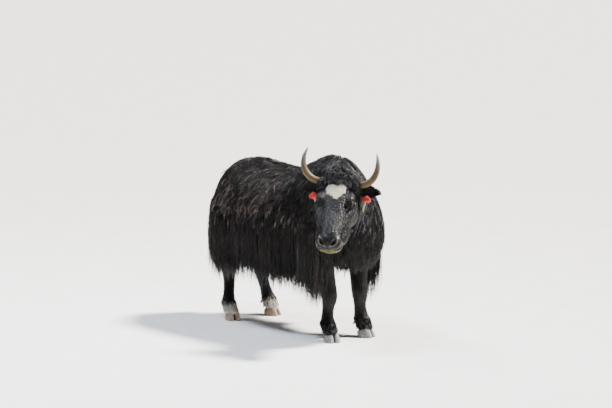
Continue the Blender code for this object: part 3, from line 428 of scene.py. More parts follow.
def ramp(value, low, high):
    """0 below low, 1 above high, and a soft step between them."""
    t = np.clip((value - low) / (high - low), 0, 1)
    return t * t * (3 - 2 * t)


def ridge(value, at, wide):
    return np.exp(-(((value - at) / wide) ** 2))


# %% Drawing the folds
# Rolls and grooves round an eye and above it, as rings in lid sizes, widths and heights. Those
# round a nostril are the same in its own size, and those beside the nose in distances from it.
ROUND_EYE = ((1.18, 0.16, 0.0022), (1.52, 0.14, -0.0016), (2.25, 0.20, -0.0012))
OVER_EYE = ((1.86, 0.22, 0.0030), (2.62, 0.26, 0.0022))
ROUND_NOSTRIL = ((1.35, 0.32, 0.0030), (2.2, 0.30, -0.0016))
BESIDE_NOSE = ((0.038, 0.012, 0.0015), (0.074, 0.024, -0.0095))
LID_SIZE, NOSTRIL_SIZE = (0.0215, 0.0135), (0.0225, 0.0085)
CHEEK_AT, CHEEK_WIDE, CHEEK_DEEP = (0.172, 0.078, 0.040), 0.024, 0.0060
LIP_WIDE, LIP_DEEP = 0.0030, 0.0020
BRIDGE_WIDE, BRIDGE_DEEP = 0.020, 0.0012

places = points_of(head.data)
along, left, out = head_places(places).T
push = np.zeros(len(places))
for side in BOTH:
    middle, *axes = eye_axes(side)
    u, w, v = local(places, middle, axes).T
    round_eye = np.hypot(u / LID_SIZE[0], v / LID_SIZE[1])
    near = (w > 0.006) * (1 - ramp(round_eye, 2.6, 3.4))
    for at, wide, height in ROUND_EYE:
        push += near * height * ridge(round_eye, at, wide)
    for at, wide, height in OVER_EYE:
        push += near * height * ridge(round_eye, at, wide) * ramp(v, 0.0, 0.010)
    rings_out, w, v = round_nostril(places, side)
    near = (w > -0.020) & (w < 0.030) & (along > 0.36)
    push += near * sum(height * ridge(rings_out, at, wide) for at, wide, height in ROUND_NOSTRIL)
    bridge = ramp(along, 0.15, 0.22) * (1 - ramp(along, 0.34, 0.385)) * ramp(out, -0.03, 0.01)
    for at, wide, height in BESIDE_NOSE:
        push += bridge * height * ridge(left * side, at, wide)
    a, b, c = CHEEK_AT
    hollow = np.hypot(np.hypot(along - a, left * side - b), out - c)
    push -= CHEEK_DEEP * ridge(hollow, 0.0, CHEEK_WIDE)
lip = ramp(along, 0.415, 0.430)
push -= LIP_DEEP * ridge(left, 0.0, LIP_WIDE) * lip * (out > -0.03) * (out < 0.03)
bridge = BRIDGE_DEEP * ridge(left, 0.0, BRIDGE_WIDE) * ramp(along, 0.14, 0.20)
push -= bridge * (1 - ramp(along, 0.36, 0.40)) * (out > 0.02)
places += read(head.data.vertices, "normal", 3) * push[:, None]
head.data.vertices.foreach_set("co", places.ravel())
head.data.update()
print("deepest fold:", round(float(push.min()), 4), "highest:", round(float(push.max()), 4))


# %% [markdown]
# ## Openings: nostrils, mouth and eyes
# Cutters shaped like the openings are taken out of the head. The mouth is a thin curved slab that
# bites only as deep as the lips are thick. Each eye gets a round socket that the eyeball fills and
# an almond cut through the lids in front of it.

# %% Cutting with a set of shapes
def put_in_order(obj):
    """Sorts points and faces by place, as a Boolean may give them in another order each time."""
    mesh = obj.data
    points = points_of(mesh)
    order = np.lexsort(points.T)
    places = np.argsort(order)
    faces = []
    for face in mesh.polygons:
        corners = places[list(face.vertices)].tolist()
        first = corners.index(min(corners))
        faces.append(corners[first:] + corners[:first])
    mesh.clear_geometry()
    mesh.from_pydata(points[order].tolist(), [], sorted(faces))
    mesh.update()


def combine(obj, operation, others):
    """Unites or cuts an object with closed meshes, which are then removed."""
    group = bpy.data.collections.new(operation)
    bpy.context.scene.collection.children.link(group)
    for other in others:
        group.objects.link(other)
    apply_modifier(
        obj, "BOOLEAN", operation=operation, solver="MANIFOLD", operand_type="COLLECTION",
        collection=group,
    )
    for other in others:
        bpy.data.objects.remove(other)
    bpy.data.collections.remove(group)
    put_in_order(obj)


# %% Cutting the openings
SOCKET_ROOM = 0.0006
NOSTRIL_DEEP, NOSTRIL_RADII = 0.004, (0.0190, 0.024, 0.0068)
OPENING_OUT, OPENING_RADII = 0.022, (0.0205, 0.022, 0.0118)
MOUTH_AT, MOUTH_RADII, MOUTH_BEND = (0.425, 0.0, -0.030), (0.092, 0.120, 0.0018), 0.9
LIP_THICK = 0.010
cutters = []
for side in BOTH:
    middle, *axes = nostril_axes(side)
    cutters.append(ball("nostril", middle + axes[1] * NOSTRIL_DEEP, axes, NOSTRIL_RADII, 28, 16))
    middle, *axes = eye_axes(side)
    cutters.append(ball("socket", middle, axes, (EYE_RADIUS + SOCKET_ROOM,) * 3, 32, 20))
    cutters.append(ball("opening", middle + axes[1] * OPENING_OUT, axes, OPENING_RADII, 32, 16))

mouth = ball("mouth", in_head(*MOUTH_AT), HEAD_AXES, MOUTH_RADII, 40, 8)
for vertex in mouth.data.vertices:
    reach = (vertex.co - SKULL).dot(HEAD_LEFT)
    vertex.co += FOREHEAD_OUT * MOUTH_BEND * reach * reach
core = head.copy()
core.data = head.data.copy()
bpy.context.scene.collection.objects.link(core)
apply_modifier(core, "DISPLACE", strength=-LIP_THICK, mid_level=0.0)
combine(mouth, "DIFFERENCE", [core])
cutters.append(mouth)
combine(head, "DIFFERENCE", cutters)
print("head after the cuts:", len(head.data.polygons))

# %% [markdown]
# ## Lids
# The rim of each lid is a soft roll that is thick in its middle and runs out at the corners. The
# upper one is heavier and shades the eye. Two bent, tapered socks on the eyeball make them.

# %% Lid rolls
LID_STEPS, LID_LONG, LID_HIGH, LID_OUT = 17, 0.0212, 0.0112, 0.0250
UPPER_LID, LOWER_LID = (1, 0.0042), (-1, 0.0030)


def lid_roll(side, way, thick):
    """One lid's roll. way is 1 for the upper lid and -1 for the lower one."""
    middle, long_way, look, upright = eye_axes(side)
    path, radii = [], []
    for k in range(LID_STEPS):
        angle = math.pi * (k + 0.15) / (LID_STEPS - 0.7)
        u, v = LID_LONG * math.cos(angle), way * LID_HIGH * math.sin(angle) ** 0.8
        depth = math.sqrt(max(LID_OUT**2 - u * u - v * v, 0.0001))
        path.append(middle + long_way * u + upright * v + look * depth * 0.96)
        radii.append(thick * (0.45 + 0.55 * math.sin(angle)))
    return sock("lid", round_rings(path, radii, 10, look))


combine(head, "UNION", [lid_roll(side, *lid) for side in BOTH for lid in (UPPER_LID, LOWER_LID)])
print("head with lids:", len(head.data.polygons))

# %% [markdown]
# ## Ears
# Each ear is a leaf that stands out sideways and droops a little, hollowed along its front into a
# cup. A sock whose rings are crescents gives the cup its depth and its thin wall together.

# %% Ear socks
EAR_AT = (0.018, 0.108, -0.016)
EAR_LENGTH, EAR_HALF_WIDTH, EAR_SUNK, EAR_DROOP = 0.138, 0.036, 0.022, 0.020
EAR_WIDTHS = ((0.0, 0.42), (0.18, 0.66), (0.40, 1.0), (0.66, 0.90), (0.87, 0.48), (1.0, 0.08))


def ear_frame(side):
    """An ear's root, the way it points, the way its cup faces, and its upper edge's side."""
    root = in_head(EAR_AT[0], side * (EAR_AT[1] - EAR_SUNK), EAR_AT[2])
    outward = (HEAD_LEFT * side - HEADING * 0.28 + UP * 0.10).normalized()
    opening = (HEADING - UP * 0.15).normalized()
    opening = (opening - outward * opening.dot(outward)).normalized()
    return root, outward, opening, opening.cross(outward).normalized() * side


def ear_line(side, share):
    """The middle of the ear at a share of its length."""
    root, outward = ear_frame(side)[:2]
    return root + outward * (EAR_LENGTH + EAR_SUNK) * share - UP * EAR_DROOP * share * share


def ear(side):
    opening, upper = ear_frame(side)[2:]
    rings = []
    for share, width in fine_stations(EAR_WIDTHS, 26):
        half = EAR_HALF_WIDTH * max(width, 0.05)
        cup = min(half * 0.75, 0.020) * (1 - 0.5 * share)
        wall = 0.0040 + 0.0035 * (1 - share)
        outer, inner = [], []
        for k in range(12):
            angle = math.pi * k / 11
            place = ear_line(side, share) + upper * half * math.cos(angle)
            lift = math.sin(angle)
            outer.append(place - opening * (cup * lift + wall * (0.35 + 0.65 * lift)))
            inner.append(place - opening * (cup * lift - wall * 0.35) * 0.95)
        rings.append(outer + inner[::-1])
    return sock("ear", rings)


combine(head, "UNION", [ear(-1), ear(1)])
print("head with ears:", len(head.data.polygons))

# %% [markdown]
# ## One skin
# Head and body become one closed surface, so that no seam shows behind the ears where the real
# coat runs on without a break.

# %% Uniting head and body
combine(body, "UNION", [head])
skin = body
bpy.ops.object.select_all(action="DESELECT")
skin.data.shade_smooth()
print("skin triangles:", sum(len(face.vertices) - 2 for face in skin.data.polygons))

# %% [markdown]
# ## Markings
# The animal is black, with a white star of two lobes on the forehead, white hind pasterns, a bare
# and slightly paler muzzle and pale lower rims to the nostrils, and under its chin an olive yellow
# is painted as reflection of the sunlit grass below. One rule gives the colour at any place, so
# that the skin and the hair over it carry the same markings.

# %% Colours and the star
BLACK, MUZZLE = np.array((0.0036, 0.0031, 0.0032)), np.array((0.0048, 0.0044, 0.0048))
# The olive yellow under the chin is a painted reflection of the sunlit grass below.
RIM, CHIN_REFLECTION = np.array((0.130, 0.092, 0.082)), np.array((0.062, 0.053, 0.015))
WHITE, SOCK = np.array((0.450, 0.395, 0.310)), np.array((0.440, 0.405, 0.355))
# Where the markings fade in: down the face, out under the chin, and down the leg.
MUZZLE_EDGE, CHIN_EDGE, CHIN_UNDER, PASTERN = (
    (0.335, 0.375), (0.355, 0.385), (0.026, 0.038), (0.108, 0.124)
)
# The star's edge on the forehead: down the face, and to the left.
STAR = np.array((
    (0.060, -0.066), (0.037, -0.056), (0.036, -0.032), (0.042, -0.007), (0.023, 0.019),
    (0.038, 0.054), (0.072, 0.052), (0.098, 0.034), (0.122, 0.014), (0.124, -0.004),
    (0.108, -0.026), (0.084, -0.056),
))
STAR_RAGGED, STAR_SOFT = 0.006, 0.003


def waver(points, size, seed=0.0):
    """A smooth pattern of hills and hollows between -1 and 1, for uneven edges and tones."""
    x, y, z = (points / size).T
    first = np.sin(x * 1.7 + 2.1 * np.sin(y * 1.3 + seed) + seed)
    first = first * np.sin(z * 1.9 + 1.4 * np.sin(x + seed))
    second = np.sin(y * 2.3 + 1.8 * np.sin(z * 1.1 - seed)) * np.sin(x * 2.9 + z * 0.7 + seed)
    return 0.5 * (first + second)


def white_star(points):
    """1 on the star of the forehead: two lobes above and a point below."""
    along, left, out = head_places(points).T
    inside = np.zeros(len(points), bool)
    edge = np.full(len(points), 1.0)
    for a, b in zip(STAR, np.roll(STAR, -1, axis=0)):
        step = b - a
        crosses = (a[1] > left) != (b[1] > left)
        rise = np.where(abs(step[1]) > 1e-9, step[1], 1e-9)
        inside ^= crosses & (along < step[0] * (left - a[1]) / rise + a[0])
        share = ((along - a[0]) * step[0] + (left - a[1]) * step[1]) / (step @ step)
        share = np.clip(share, 0, 1)
        off = np.hypot(along - a[0] - share * step[0], left - a[1] - share * step[1])
        edge = np.minimum(edge, off)
    depth = np.where(inside, edge, -edge) + STAR_RAGGED * waver(points, 0.006)
    return ramp(depth, -STAR_SOFT, STAR_SOFT) * (out > 0.0) * (out < 0.12)


# %% Rims, and all the markings together
def nostril_rims(points, along):
    """1 on the pale lower rim of each nostril."""
    rim = np.zeros(len(points))
    for side in BOTH:
        rings_out, w, v = round_nostril(points, side)
        downwards = -v * np.sign(nostril_axes(side)[3].dot(UP))
        lower = 0.04 + 0.96 * ramp(downwards, -0.004, 0.004)
        ring = ridge(rings_out, 1.20, 0.24) * lower * (0.75 + 0.25 * waver(points, 0.006))
        rim = np.maximum(rim, ring * (np.abs(w) < 0.03) * (along > 0.37))
    return rim


def marking(points):
    """The colour of skin or hair that is rooted at each point."""
    along, left, out = head_places(points).T
    on_head = (np.abs(left) < 0.14) & (out > -0.13) & (along < 0.47)
    # Painted reflection of the grass on the underside of the chin.
    chin = ramp(-out + 0.006 * waver(points, 0.012), *CHIN_UNDER) * ramp(along, *CHIN_EDGE)
    sock_top = ramp(points[:, 2] + 0.006 * waver(points, 0.02), *PASTERN)
    colour = np.repeat(BLACK[None], len(points), 0)
    for share, shade in (
        (ramp(along, *MUZZLE_EDGE) * on_head, MUZZLE), (chin * on_head, CHIN_REFLECTION),
        (nostril_rims(points, along) * on_head, RIM), (white_star(points), WHITE),
        ((1 - sock_top) * (points[:, 1] > 0.3), SOCK),
    ):
        colour += share[:, None] * (shade - colour)
    return colour


def bareness(points):
    """1 on the hairless muzzle and lips."""
    along, left, out = head_places(points).T
    bare = ramp(along + 0.012 * waver(points, 0.02), 0.345, 0.380)
    return bare * (np.abs(left) < 0.14) * (out > -0.12) * (along < 0.47)


# %% Keeping colours and numbers on the points
def set_colours(mesh, name, colours):
    layer = mesh.color_attributes.new(name, "FLOAT_COLOR", "POINT")
    solid = np.c_[colours, np.ones(len(colours))]
    layer.data.foreach_set("color", solid.astype(np.float32).ravel())


def set_numbers(mesh, name, numbers):
    layer = mesh.attributes.new(name, "FLOAT", "POINT")
    layer.data.foreach_set("value", np.array(numbers, np.float32))


set_colours(skin.data, "tint", marking(points_of(skin.data)))
set_numbers(skin.data, "bare", bareness(points_of(skin.data)))
print("marked points:", len(skin.data.vertices))

# %% [markdown]
# ## Where the hair is rooted
# Hair needs a place, the way out of the skin there, and a place on an unwrap of the skin for its
# baked colour. A lighter copy of the skin is unwrapped once and gives all three. It is also the
# surface along which the hair is combed.

# %% A light copy of the skin, unwrapped
GROUND_SHARE = 0.22


def unwrap_all():
    bpy.ops.mesh.quads_convert_to_tris()
    bpy.ops.uv.smart_project(angle_limit=math.radians(66), island_margin=0.002)


ground = skin.copy()
ground.data = skin.data.copy()
bpy.context.scene.collection.objects.link(ground)
apply_modifier(ground, "DECIMATE", ratio=GROUND_SHARE)
mesh = edit(ground, unwrap_all).data
ground_points = points_of(mesh)
ground_faces = read(mesh.polygons, "vertices", 3, int)
ground_normals = read(mesh.vertices, "normal", 3)
ground_uv = read(mesh.uv_layers.active.data, "uv", 2).reshape(-1, 3, 2)
corners = ground_points[ground_faces]
crossed = np.cross(corners[:, 1] - corners[:, 0], corners[:, 2] - corners[:, 0])
ground_areas = np.linalg.norm(crossed, axis=1) / 2
tree = BVHTree.FromPolygons(ground_points.tolist(), ground_faces.tolist())
print("ground faces:", len(ground_faces), "area:", round(float(ground_areas.sum()), 2))


# %% Scattering roots
TRIES_PER_ROOT = 3


def scatter(wanted, pitch):
    """Roots about a pitch apart on the faces whose middle is wanted, with normals and unwrap."""
    weight = ground_areas * wanted(corners.mean(1), ground_normals[ground_faces].mean(1))
    count = int(weight.sum() / pitch**2 * TRIES_PER_ROOT)
    chosen = rng.choice(len(weight), count, p=weight / weight.sum())
    a, b = rng.random((2, count))
    over = a + b > 1
    a[over], b[over] = 1 - a[over], 1 - b[over]
    share = np.stack([1 - a - b, a, b], 1)[:, :, None]
    places = (corners[chosen] * share).sum(1)
    cells = np.floor(places / pitch).astype(int)
    first = np.unique(cells, axis=0, return_index=True)[1]
    ways = (ground_normals[ground_faces[chosen]] * share).sum(1)[first]
    ways /= np.linalg.norm(ways, axis=1)[:, None]
    return places[first], ways, (ground_uv[chosen] * share).sum(1)[first]


# %% [markdown]
# ## Combing
# Hair grows in locks. Each lock has a middle line that starts under the skin, follows the lie of
# the coat, keeps off the skin and gives way to its own weight towards the tip. Lying fur is held
# close to the body, and hanging hair falls free of it.

# %% Middle lines of locks
# The most that hair turns down, its rise at the root, and the slack before it is held close.
MOST_DROOP, ROOT_RISE, SLACK = 0.96, 0.35, 1.2


def unit(rows):
    return rows / np.maximum(np.linalg.norm(rows, axis=-1, keepdims=True), 1e-9)


def comb(roots, ways, lie, lengths, style):
    """The middle lines of locks, as an array of locks by steps by coordinates."""
    steps, rise, droop, hug = (style[name] for name in ("steps", "rise", "droop", "hug"))
    lines = np.zeros((len(roots), steps + 1, 3))
    facings = np.zeros_like(lines)
    for n, (root, way, lay, length) in enumerate(zip(roots, ways, lie, lengths)):
        place, facing = Vector(root), Vector(way)
        heading = Vector(lay)
        heading = (heading - facing * heading.dot(facing)).normalized()
        lines[n, 0], facings[n, 0] = place - facing * style["sunk"], facing
        for k in range(1, steps + 1):
            t = k / steps
            going = heading.lerp(-UP, min(MOST_DROOP, droop * t)).normalized()
            place = place + going * length / steps
            near, normal = tree.find_nearest(place)[:2]
            height = (place - near).dot(normal)
            keep = rise * min(1.0, ROOT_RISE + t)
            if height < keep:
                place = place + normal * (keep - height)
                facing = facing.lerp(normal, 0.5).normalized()
            elif hug and height > keep * SLACK:
                place = place - normal * (height - keep * SLACK) * hug
                facing = facing.lerp(normal, 0.5).normalized()
            heading = (place - Vector(lines[n, k - 1])).normalized() if k > 1 else going
            lines[n, k], facings[n, k] = place, facing
    return lines, facings


# %% [markdown]
# ## Strands
# Around each middle line run several thin strands. Each is a closed three-sided blade that tapers
# to a point. They start apart, draw together towards the lock's tip, and wave. The whole coat is
# written straight into mesh arrays, because a million faces are too many for one tool call each.

# %% Strands round the middle lines
BAKE_PATCH = 0.003
REACHES, DEPTHS = (0.72, 1.0), (-0.2, 1.0)
SHORT_AND_LONG, THIN_AND_WIDE = (0.8, 1.15), (0.75, 1.25)
ROOT_SHADE, TIP_LIGHT = 0.75, 2.9
THREE_SIDES = ((0, 1), (1, 2), (2, 0))


def strands_round(lines, facings, style):
    """Points of the strands (strands, steps, 3), and their sideways and outward directions."""
    locks, stations = lines.shape[:2]
    each, radius = style["each"], style["radius"]
    t = np.linspace(0, 1, stations)
    reach = rng.uniform(*REACHES, (locks, each, 1))
    place = reach * t * (stations - 1)
    i = np.minimum(place.astype(int), stations - 2)
    share = (place - i)[..., None]
    lock = np.arange(locks)[:, None, None]
    middle = lines[lock, i] * (1 - share) + lines[lock, i + 1] * share
    proud = unit(facings[lock, i] * (1 - share) + facings[lock, i + 1] * share)
    along = unit(np.gradient(middle, axis=2))
    sideways = unit(np.cross(along, proud))
    proud = unit(np.cross(sideways, along))
    spread = rng.uniform(-1, 1, (locks, each, 1, 1)) * radius
    depth = rng.uniform(*DEPTHS, (locks, each, 1, 1)) * radius * style["thick"]
    gather = (1 - style["gather"] * t**1.3)[None, None, :, None]
    phase = rng.uniform(0, 2 * math.pi, (2, locks, 1, 1, 1))
    phase = phase + rng.normal(0, 0.5, (2, locks, each, 1, 1))
    wave = (t**0.8)[None, None, :, None] * style["curl"]
    turns = 2 * math.pi * style["waves"] * t[None, None, :, None]
    points = middle + sideways * (spread * gather + wave * np.sin(turns + phase[0]))
    points += proud * (depth * gather + wave * 0.6 * (1 + np.cos(turns + phase[1])))
    return [a.reshape(-1, stations, 3) for a in (points, sideways, proud)]


# %% Blades along the strands
def blades(points, sideways, proud, width, thin):
    """Corners of three-sided tapered blades along rows of points, and one blade's faces."""
    count, stations = points.shape[:2]
    t = np.linspace(0, 1, stations)[:-1]
    shape = (0.55 + 0.9 * t) * (1 - t**2.2)
    half = width[:, None, None] / 2 * shape[None, :, None]
    body, left = points[:, :-1], sideways[:, :-1] * half
    ring = np.stack([body + left, body + proud[:, :-1] * half * thin * 2, body - left], 2)
    corner = np.concatenate([ring.reshape(count, -1, 3), points[:, -1:]], 1)
    quads = [
        (low + a, low + b, low + 3 + b, low + 3 + a)
        for low in range(0, (stations - 2) * 3, 3) for a, b in THREE_SIDES
    ]
    last, tip = (stations - 2) * 3, corner.shape[1] - 1
    tris = [(last + a, last + b, tip) for a, b in THREE_SIDES] + [(2, 1, 0)]
    return corner, np.array(quads), np.array(tris)


# %% Writing arrays into a mesh
def repeated(faces, count, per):
    """One shape's faces for a row of shapes, each with so many points."""
    shift = (np.arange(count) * per)[:, None, None]
    return (faces[None] + shift).reshape(-1, faces.shape[1])


def array_mesh(name, corner, quads, tris, uv, colours, smooth=True):
    """One mesh of like shapes: corners by shape, one shape's faces, unwrap and colours."""
    count, per = corner.shape[:2]
    quads, tris = repeated(quads, count, per), repeated(tris, count, per)
    mesh = bpy.data.meshes.new(name)
    mesh.vertices.add(count * per)
    mesh.vertices.foreach_set("co", corner.astype(np.float32).ravel())
    loops = np.concatenate([quads.ravel(), tris.ravel()])
    sizes = np.concatenate([np.full(len(quads), 4), np.full(len(tris), 3)])
    mesh.loops.add(len(loops))
    mesh.loops.foreach_set("vertex_index", loops)
    mesh.polygons.add(len(sizes))
    mesh.polygons.foreach_set("loop_start", np.concatenate([[0], np.cumsum(sizes)[:-1]]))
    mesh.update(calc_edges=True)
    if uv is not None:
        spots = uv.reshape(-1, 2)[loops].astype(np.float32).ravel()
        mesh.uv_layers.new(name="OFBake").data.foreach_set("uv", spots)
    set_colours(mesh, "tint", colours.reshape(-1, 3))
    if smooth:
        mesh.shade_smooth()
    else:
        mesh.shade_flat()
    obj = bpy.data.objects.new(name, mesh)
    bpy.context.scene.collection.objects.link(obj)
    return obj


# %% A coat of one style
MOST_FACES = 190000
coat_pieces = []


def grow(name, style, wanted):
    """Scatters, combs and builds the hair of one part of the body, in pieces of a fair size."""
    each = style["each"]
    roots, ways, unwrap = scatter(wanted, style["pitch"])
    lie, lengths, tone = style["lie"](roots, ways), style["length"](roots), style["tone"](roots)
    lie = unit(lie) + rng.normal(0, style["stray"], (len(roots), 3))
    lengths = lengths * rng.uniform(*SHORT_AND_LONG, len(roots))
    lines, facings = comb(roots, ways, lie, lengths, style)
    points, sideways, proud = strands_round(lines, facings, style)
    count, stations = points.shape[:2]
    width = style["width"] * rng.uniform(*THIN_AND_WIDE, count)
    corner, quads, tris = blades(points, sideways, proud, width, style["thin"])
    t = np.append(np.repeat(np.linspace(0, 1, stations)[:-1], 3), 1.0)
    across = np.append(np.tile((0.0, 0.5, 1.0), stations - 1), 0.5)
    patch = np.repeat(unwrap, each, 0)[:, None] + (np.stack([across, t], 1) * BAKE_PATCH)[None]
    base = np.repeat(marking(roots), each, 0)[:, None]
    # Lighter tips by the tone: brown is partly faded colour and partly painted glints, and grey is
    # painted sheen.
    tip = np.repeat(tone, each, 0)[:, None] * TIP_LIGHT * rng.random((count, 1, 1)) ** 2
    pale = np.clip(base.mean(-1, keepdims=True) * 4 - 0.3, 0, 1)
    colour = base * (ROOT_SHADE + (1 - ROOT_SHADE) * t)[None, :, None]
    colour = colour + tip * (t**1.5)[None, :, None] * (1 - pale)
    faces_each = len(quads) * 2 + len(tris)
    lots = max(1, math.ceil(count * faces_each / MOST_FACES))
    order = np.argsort(np.repeat(roots[:, 1], each), kind="stable")
    for k in range(lots):
        mine = order[round(count * k / lots):round(count * (k + 1) / lots)]
        coat_pieces.append(array_mesh(
            name if lots == 1 else f"{name}_{k + 1}",
            corner[mine], quads, tris, patch[mine], colour[mine], style["smooth"],
        ))
    print(name, "locks:", len(roots), "triangles:", count * faces_each)


# %% [markdown]
# ## The parts of the coat
# A yak wears several coats at once: wool on the back and flanks, a long skirt that hangs from the
# sides nearly to the hocks, smooth hair on the hump, a shaggy neck, curls on the poll, and short
# hair on face and legs. Each part is told by where its roots are.

# %% Where each coat grows
POLL_CUT = np.array(in_head(-0.020, 0.0, -0.040))
POLL_WAY = np.array(HEADING * 0.987 + UP * 0.158)
HEAD_MIDDLE, HEAD_REACH = np.array(in_head(0.18, 0, -0.03)), 0.36
CHEST_CUT, CHEST_WAY = np.array((0.0, -0.380, 1.120)), np.array((0.0, -0.520, 0.330))
DOWN = -np.array(UP)


def ear_share(points):
    """How far out along an ear a point lies, and 0 off the ears."""
    found = np.zeros(len(points))
    long = EAR_LENGTH + EAR_SUNK
    for side in BOTH:
        root, outward = (np.array(v) for v in ear_frame(side)[:2])
        share = (points - root) @ outward / long
        droop = np.array(UP)[None] * (-EAR_DROOP * share**2)[:, None]
        off = np.linalg.norm(points - root - outward * (share * long)[:, None] - droop, axis=1)
        found = np.maximum(found, share * (off < 0.050) * (share > 0.22) * (share < 1.1))
    return found


def regions(points):
    """Where a point lies, as a dictionary of shares."""
    x, y, z = points.T
    on_ear = ear_share(points) > 0
    ahead = (points - POLL_CUT) @ POLL_WAY > 0
    head = ahead & (np.linalg.norm(points - HEAD_MIDDLE, axis=1) < HEAD_REACH) & ~on_ear
    neck = ~head & ~on_ear & ((points - CHEST_CUT) @ CHEST_WAY > 0) & (z > 0.50)
    tail = (y > 0.725) & (np.abs(x) < 0.05)
    leg = (z < 0.43) & ~head & ~on_ear & ~tail
    trunk = ~head & ~on_ear & ~neck & ~tail & ~leg
    return {"ear": on_ear, "head": head, "neck": neck, "tail": tail, "leg": leg, "trunk": trunk}


print({name: int(found.sum()) for name, found in regions(ground_points).items()})

# %% Lies of the coat
def back_and_down(roots, ways):
    """Backwards along the spine, and more and more downwards on the sides."""
    side = np.abs(ways[:, 0])
    return np.stack([ways[:, 0] * 0.2, 0.85 - 0.35 * side, -0.10 - 1.3 * side], 1)


def straight_down(roots, ways):
    still = np.ones(len(roots))
    return np.stack([ways[:, 0] * 0.05, 0.06 * still, -still], 1)


def down_the_face(roots, ways):
    """From the poll down to the muzzle, and back along the cheeks."""
    along, left, out = head_places(roots).T
    cheek = ramp(-out, 0.02, 0.09)[:, None]
    lie = np.array(DOWN_FACE) * (1 - 1.3 * cheek) + DOWN * 0.7 * cheek
    return lie + np.array(HEAD_LEFT) * left[:, None] * 2.0


def along_the_ear(roots, ways):
    leftwards, rightwards = (np.array(ear_frame(side)[1]) for side in (1, -1))
    return np.where(head_places(roots)[:, 1:2] > 0, leftwards, rightwards) + DOWN * 0.22


# %% Lengths
# The hem of the skirt: place along the body and height. It is lifted behind the left elbow.
HEM = np.array((
    (-0.600, 0.280), (-0.480, 0.215), (-0.400, 0.235), (-0.300, 0.260), (-0.150, 0.280),
    (0.000, 0.285), (0.100, 0.265), (0.190, 0.310), (0.300, 0.300), (0.400, 0.285),
    (0.600, 0.280), (0.680, 0.330),
))


def steady(value):
    return lambda roots: np.full(len(roots), float(value))


def to_hem(roots):
    """From a root on the side down to the hem, less for those that start higher."""
    x, y, z = roots.T
    lifted = 0.10 * (x > 0) * ramp(y, -0.38, -0.30) * (1 - ramp(y, -0.06, 0.06))
    hem = np.interp(y, HEM[:, 0], HEM[:, 1]) + lifted
    return np.maximum(z - hem - 0.35 * np.maximum(z - 0.62, 0) - 0.06 * ramp(y, 0.60, 0.70), 0.08)


def to_hocks(roots):
    return np.maximum(roots[:, 2] - 0.27, 0.2) * 0.92


# %% Tones of the tips
def patchy(share):
    return lambda roots: share * (1 + 0.8 * waver(roots, 0.07, 2.0))


def bleach_and_glint(roots):
    """Brown tips, part faded hair and part painted glints: more on the mid flank than on the back
    and low down.
    """
    x, y, z = roots.T
    band = ramp(z, 0.68, 0.84) * (1 - 0.65 * ramp(z, 0.92, 1.00)) * (1 - 0.6 * ramp(y, 0.45, 0.65))
    # None towards the shoulder, which is kept black as painted shade beside the head.
    band = band * ramp(y, -0.24, -0.06)
    return 0.55 * band * np.clip(0.75 + 0.9 * waver(roots, 0.055, 1.0), 0, 1.6) + 0.02


def tones(shade, second, share):
    """Adds to the tips a shade, and on some locks a second one."""
    def pick(roots):
        some = rng.random(len(roots)) < share(roots)
        return np.where(some[:, None], np.array(second), np.array(shade))
    return pick


# Brown tips are partly sun-faded hair and partly painted glints of sunlight; grey tips are a
# painted bluish sheen.
BLEACH_AND_GLINT_TIP, PAINTED_SHEEN_TIP = (0.120, 0.092, 0.082), (0.040, 0.042, 0.052)
DARK_TIP = (0.006, 0.0045, 0.0045)

# %% [markdown]
# A style is a list of measures: how far apart the roots are (pitch), how many strands a lock has
# (each) in how many steps, how wide and thin they are, how far they stand apart (radius, thick),
# draw together (gather) and wave (curl, waves), how deep they are sunk, how they rise, droop and
# hug the body, and how far they stray from the lie. Each style names only what it changes.

# %% Styles
# The grey tips of hump, poll curls and fetlocks, and the pale grey locks of the mane, are painted
# sheen.
WOOL = dict(
    pitch=0.0205, each=6, steps=4, width=0.0050, thin=0.35, radius=0.013, thick=1.0, gather=0.75,
    curl=0.008, waves=1.3, smooth=True, sunk=0.004, rise=0.016, droop=0.45, hug=0.7, stray=0.50,
    lie=back_and_down, length=steady(0.105), tone=tones(DARK_TIP, BLEACH_AND_GLINT_TIP, bleach_and_glint),
)
HUMP = dict(
    WOOL, pitch=0.0165, width=0.0044, gather=0.60, curl=0.007, waves=1.1, rise=0.012, stray=0.38,
    length=steady(0.110), tone=tones((0.008, 0.008, 0.009), PAINTED_SHEEN_TIP, patchy(0.25)),
)
SKIRT = dict(
    WOOL, steps=5, width=0.0048, radius=0.016, gather=0.50, curl=0.010, waves=1.2, rise=0.014,
    droop=1.5, hug=0.0, stray=0.11, lie=straight_down, length=to_hem,
    tone=tones((0.004, 0.0035, 0.0035), (0.016, 0.011, 0.009), patchy(0.20)),
)
# The mane's pale grey second tone is painted sheen, for sunlit streaks down the neck.
MANE = dict(
    HUMP, pitch=0.017, rise=0.009, droop=0.70, stray=0.15, lie=straight_down,
    length=steady(0.100), tone=tones((0.010, 0.009, 0.010), (0.105, 0.102, 0.108), patchy(0.45)),
)
CHEST = dict(SKIRT, pitch=0.021, steps=4, length=steady(0.110), rise=0.012)
CURLS = dict(
    WOOL, pitch=0.013, width=0.0036, radius=0.009, gather=0.55, curl=0.007, waves=1.7,
    rise=0.008, droop=0.15, stray=0.55, lie=down_the_face, length=steady(0.050),
    tone=tones((0.008, 0.008, 0.008), PAINTED_SHEEN_TIP, patchy(0.30)),
)
FACE = dict(
    WOOL, pitch=0.0072, each=3, steps=2, width=0.0044, thin=0.10, radius=0.0035, thick=0.1,
    gather=0.3, curl=0.0, smooth=False, sunk=0.001, rise=0.0021, droop=0.0, hug=1.0, stray=0.10,
    lie=down_the_face, length=steady(0.017),
    tone=tones((0.001, 0.001, 0.001), (0.005, 0.005, 0.006), patchy(0.30)),
)
